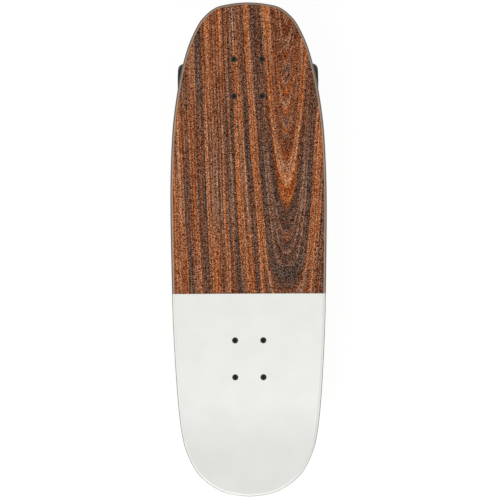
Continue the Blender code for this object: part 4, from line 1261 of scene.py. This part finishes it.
for number in range(BALLS):
    angle = math.tau * number / BALLS
    at = (BALL_TRACK * math.cos(angle), BALL_TRACK * math.sin(angle), 3.5 * MM)
    bpy.ops.mesh.primitive_uv_sphere_add(segments=20, ring_count=10, radius=BALL_RADIUS, location=at)
    balls.append(bpy.context.object)
smooth(join(cage, *balls), 60)
print("bearing pieces:", len(shell.data.polygons), len(core.data.polygons), len(cage.data.polygons))

# %% [markdown]
# ## Wheels
# Soft urethane wheels are poured in a mould and then turned. The tread is flat with generous round lips,
# and each side is dished down to the bearing seat. Turning leaves faint rings on the tread. One profile
# gives it all, mirrored for the other side.

# %% Turn the wheels
WHEEL_X = 82.85
BEARING_X = 5
RINGS_PER_METRE = 2600.0

half_wheel = [
    (9.5, 4.4), (9.8, 4.7), (11.3, 4.7), (11.3, 12.0), (11.7, 12.35), (12.9, 13.0), (14.4, 14.9),
    (15.8, 17.5), (16.9, 19.9), (17.7, 21.3), (18.3, 21.85), (19.0, 22.0), (20.8, 22.0),
    *arc(22.5, 13.5, 8.5, 90, 0, 12), (31.0, 9.0), (31.0, 4.0),
]
wheel = smooth(lathe(half_wheel + mirrored(half_wheel), 96, closed=True))

urethane = cloudy(
    "wheel_urethane", (70.0, 3.0), [(0.35, (10, 10, 10)), (0.65, (19, 19, 18))],
    roughness=0.55, specular=0.18,
)
across = urethane.sum("MULTIPLY", urethane.axes()[0], RINGS_PER_METRE)
rings = urethane.noise(1.0, 2.0, urethane.point(across))
urethane.rough(rings, 0.42, 0.6)
urethane.bump(rings, 0.25, 0.0001)

to_all_wheels(wheel, WHEEL_X, "urethane", urethane, "wheel_urethane", "wheel_body", "wheel")
to_all_wheels(core, WHEEL_X, "inner_rings", ground, "bearing_steel", "hanger_body", "bearing_core")
for where, facing in (("outboard", 1), ("inboard", -1)):
    x = WHEEL_X + facing * BEARING_X
    node = f"{where}_bearing_shell"
    to_all_wheels(shell, x, f"{where}_ring", ground, "bearing_steel", "wheel_body", node, facing)
    node = f"{where}_ball_cage"
    to_all_wheels(cage, x, f"{where}_balls", ground, "bearing_steel", "ball_body", node, facing)
clear(wheel, core, shell, cage)
print("pieces made:", len(made))

# %% [markdown]
# ## Floor, light and world
# The board stands on a plain pale floor in soft studio light. The background of a product picture is
# pure white, so camera and mirror rays see the floor and the world lifted to white, and the floor keeps
# a trace of the shadow, which fades out with the distance. From below the floor is clear. The world and
# two large lamps together light a level surface at about 1, so that a colour renders as it is written.

# %% Floor
FLOOR_SIZE = 6
FLOOR_Z = -0.5 * MM
FLOOR_GLOW = 1.08
SHADOW_SHARE = 0.15
SHADOW_FADE = (0.5, 1.2)


def seen_rays(nodes):
    """1 for what the camera sees, straight on or through a mirror or glass."""
    rays = nodes.add("LightPath").outputs
    mirrored_rays = nodes.sum("ADD", rays["Is Glossy Ray"], rays["Is Transmission Ray"])
    return nodes.sum("ADD", rays["Is Camera Ray"], mirrored_rays, clamp=True)


def pale_floor():
    """White to the camera, with a share of the real shading mixed in near the board."""
    finish = Finish("pale_floor", roughness=0.9, specular=0.0)
    finish.colour((0.82, 0.82, 0.82))
    glow = finish.fed("Emission", {"Strength": FLOOR_GLOW, "Color": (1, 1, 1)})
    distance = finish.fed("VectorMath", {0: finish.at}, "Value", operation="LENGTH")
    shaded = finish.between(distance, *SHADOW_FADE, SHADOW_SHARE, 0.0)
    white = finish.sum("MULTIPLY", seen_rays(finish), finish.sum("SUBTRACT", 1.0, shaded))
    lit = finish.fed("MixShader", {0: white, 1: finish.shader.outputs[0], 2: glow})
    from_below = finish.add("NewGeometry").outputs["Backfacing"]
    seen = finish.add("LightPath").outputs["Is Camera Ray"]
    clear_view = finish.add("BsdfTransparent").outputs[0]
    window = finish.fed("MixShader", {0: finish.sum("MULTIPLY", from_below, seen), 1: lit, 2: clear_view})
    finish.feed(finish.tree.nodes["Material Output"].inputs["Surface"], window)
    return finish.material


bpy.ops.mesh.primitive_plane_add(size=FLOOR_SIZE, location=(0, 0, FLOOR_Z))
floor = bpy.context.object
floor.name = "floor"
floor.data.materials.append(pale_floor())
floor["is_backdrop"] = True
print("floor is", [round(s, 1) for s in floor.dimensions])

# %% World and lamps
WORLD_LEVEL = 0.48
LAMPS = {
    # name: (place, diameter, watts)
    "key": ((-1.15, -1.7, 2.3), 1.6, 42.0),
    "fill": ((1.3, -1.5, 2.3), 1.8, 20.0),
}

world = bpy.data.worlds.new("studio")
world.use_nodes = True
bpy.context.scene.world = world
studio = Nodes(world.node_tree)
sky = studio.tree.nodes["Background"]
studio.feed(sky.inputs["Color"], (1, 1, 1))
studio.feed(sky.inputs["Strength"], studio.between(seen_rays(studio), 0.0, 1.0, WORLD_LEVEL, 1.0))

for name, (at, size, watts) in LAMPS.items():
    bpy.ops.object.light_add(type="AREA", location=at)
    lamp = bpy.context.object
    lamp.name = name
    lamp.data.shape = "DISK"
    lamp.data.size = size
    lamp.data.energy = watts
    lamp.rotation_euler = (-Vector(at)).to_track_quat("-Z", "Y").to_euler()
print("lamps:", list(LAMPS))

# %% [markdown]
# ## Camera
# The photograph looks straight down from about two and a half metres, with the nose at the top. A long
# lens keeps the deck's outline true. The board lies very slightly askew in it, so the camera is turned
# by a quarter of a degree.

# %% Place the camera
CAMERA_AT = (0.0018, -0.0029, 2.5365)
CAMERA_TURN = -0.00466
LENS = 120
SENSOR = 36

bpy.ops.object.camera_add(location=CAMERA_AT, rotation=(0, 0, CAMERA_TURN))
camera = bpy.context.object
camera.name = "camera"
camera.data.lens = LENS
camera.data.sensor_width = SENSOR
scene = bpy.context.scene
scene.camera = camera
scene.view_settings.view_transform = "Standard"
print("camera height above the deck:", round(CAMERA_AT[2] - deck_top, 3), "m")

# %% [markdown]
# ## Measure and finish
# The dressed board has to keep the size of the CAD model, so both boxes are printed side by side.

# %% Print the sizes
low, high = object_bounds()
sizes = {
    "cad": [list(cad_low), list(cad_high)],
    "visual": [list(low), list(high)],
}
for name, (least, most) in sizes.items():
    print(name, [round((b - a) / MM, 1) for a, b in zip(least, most)], "mm")
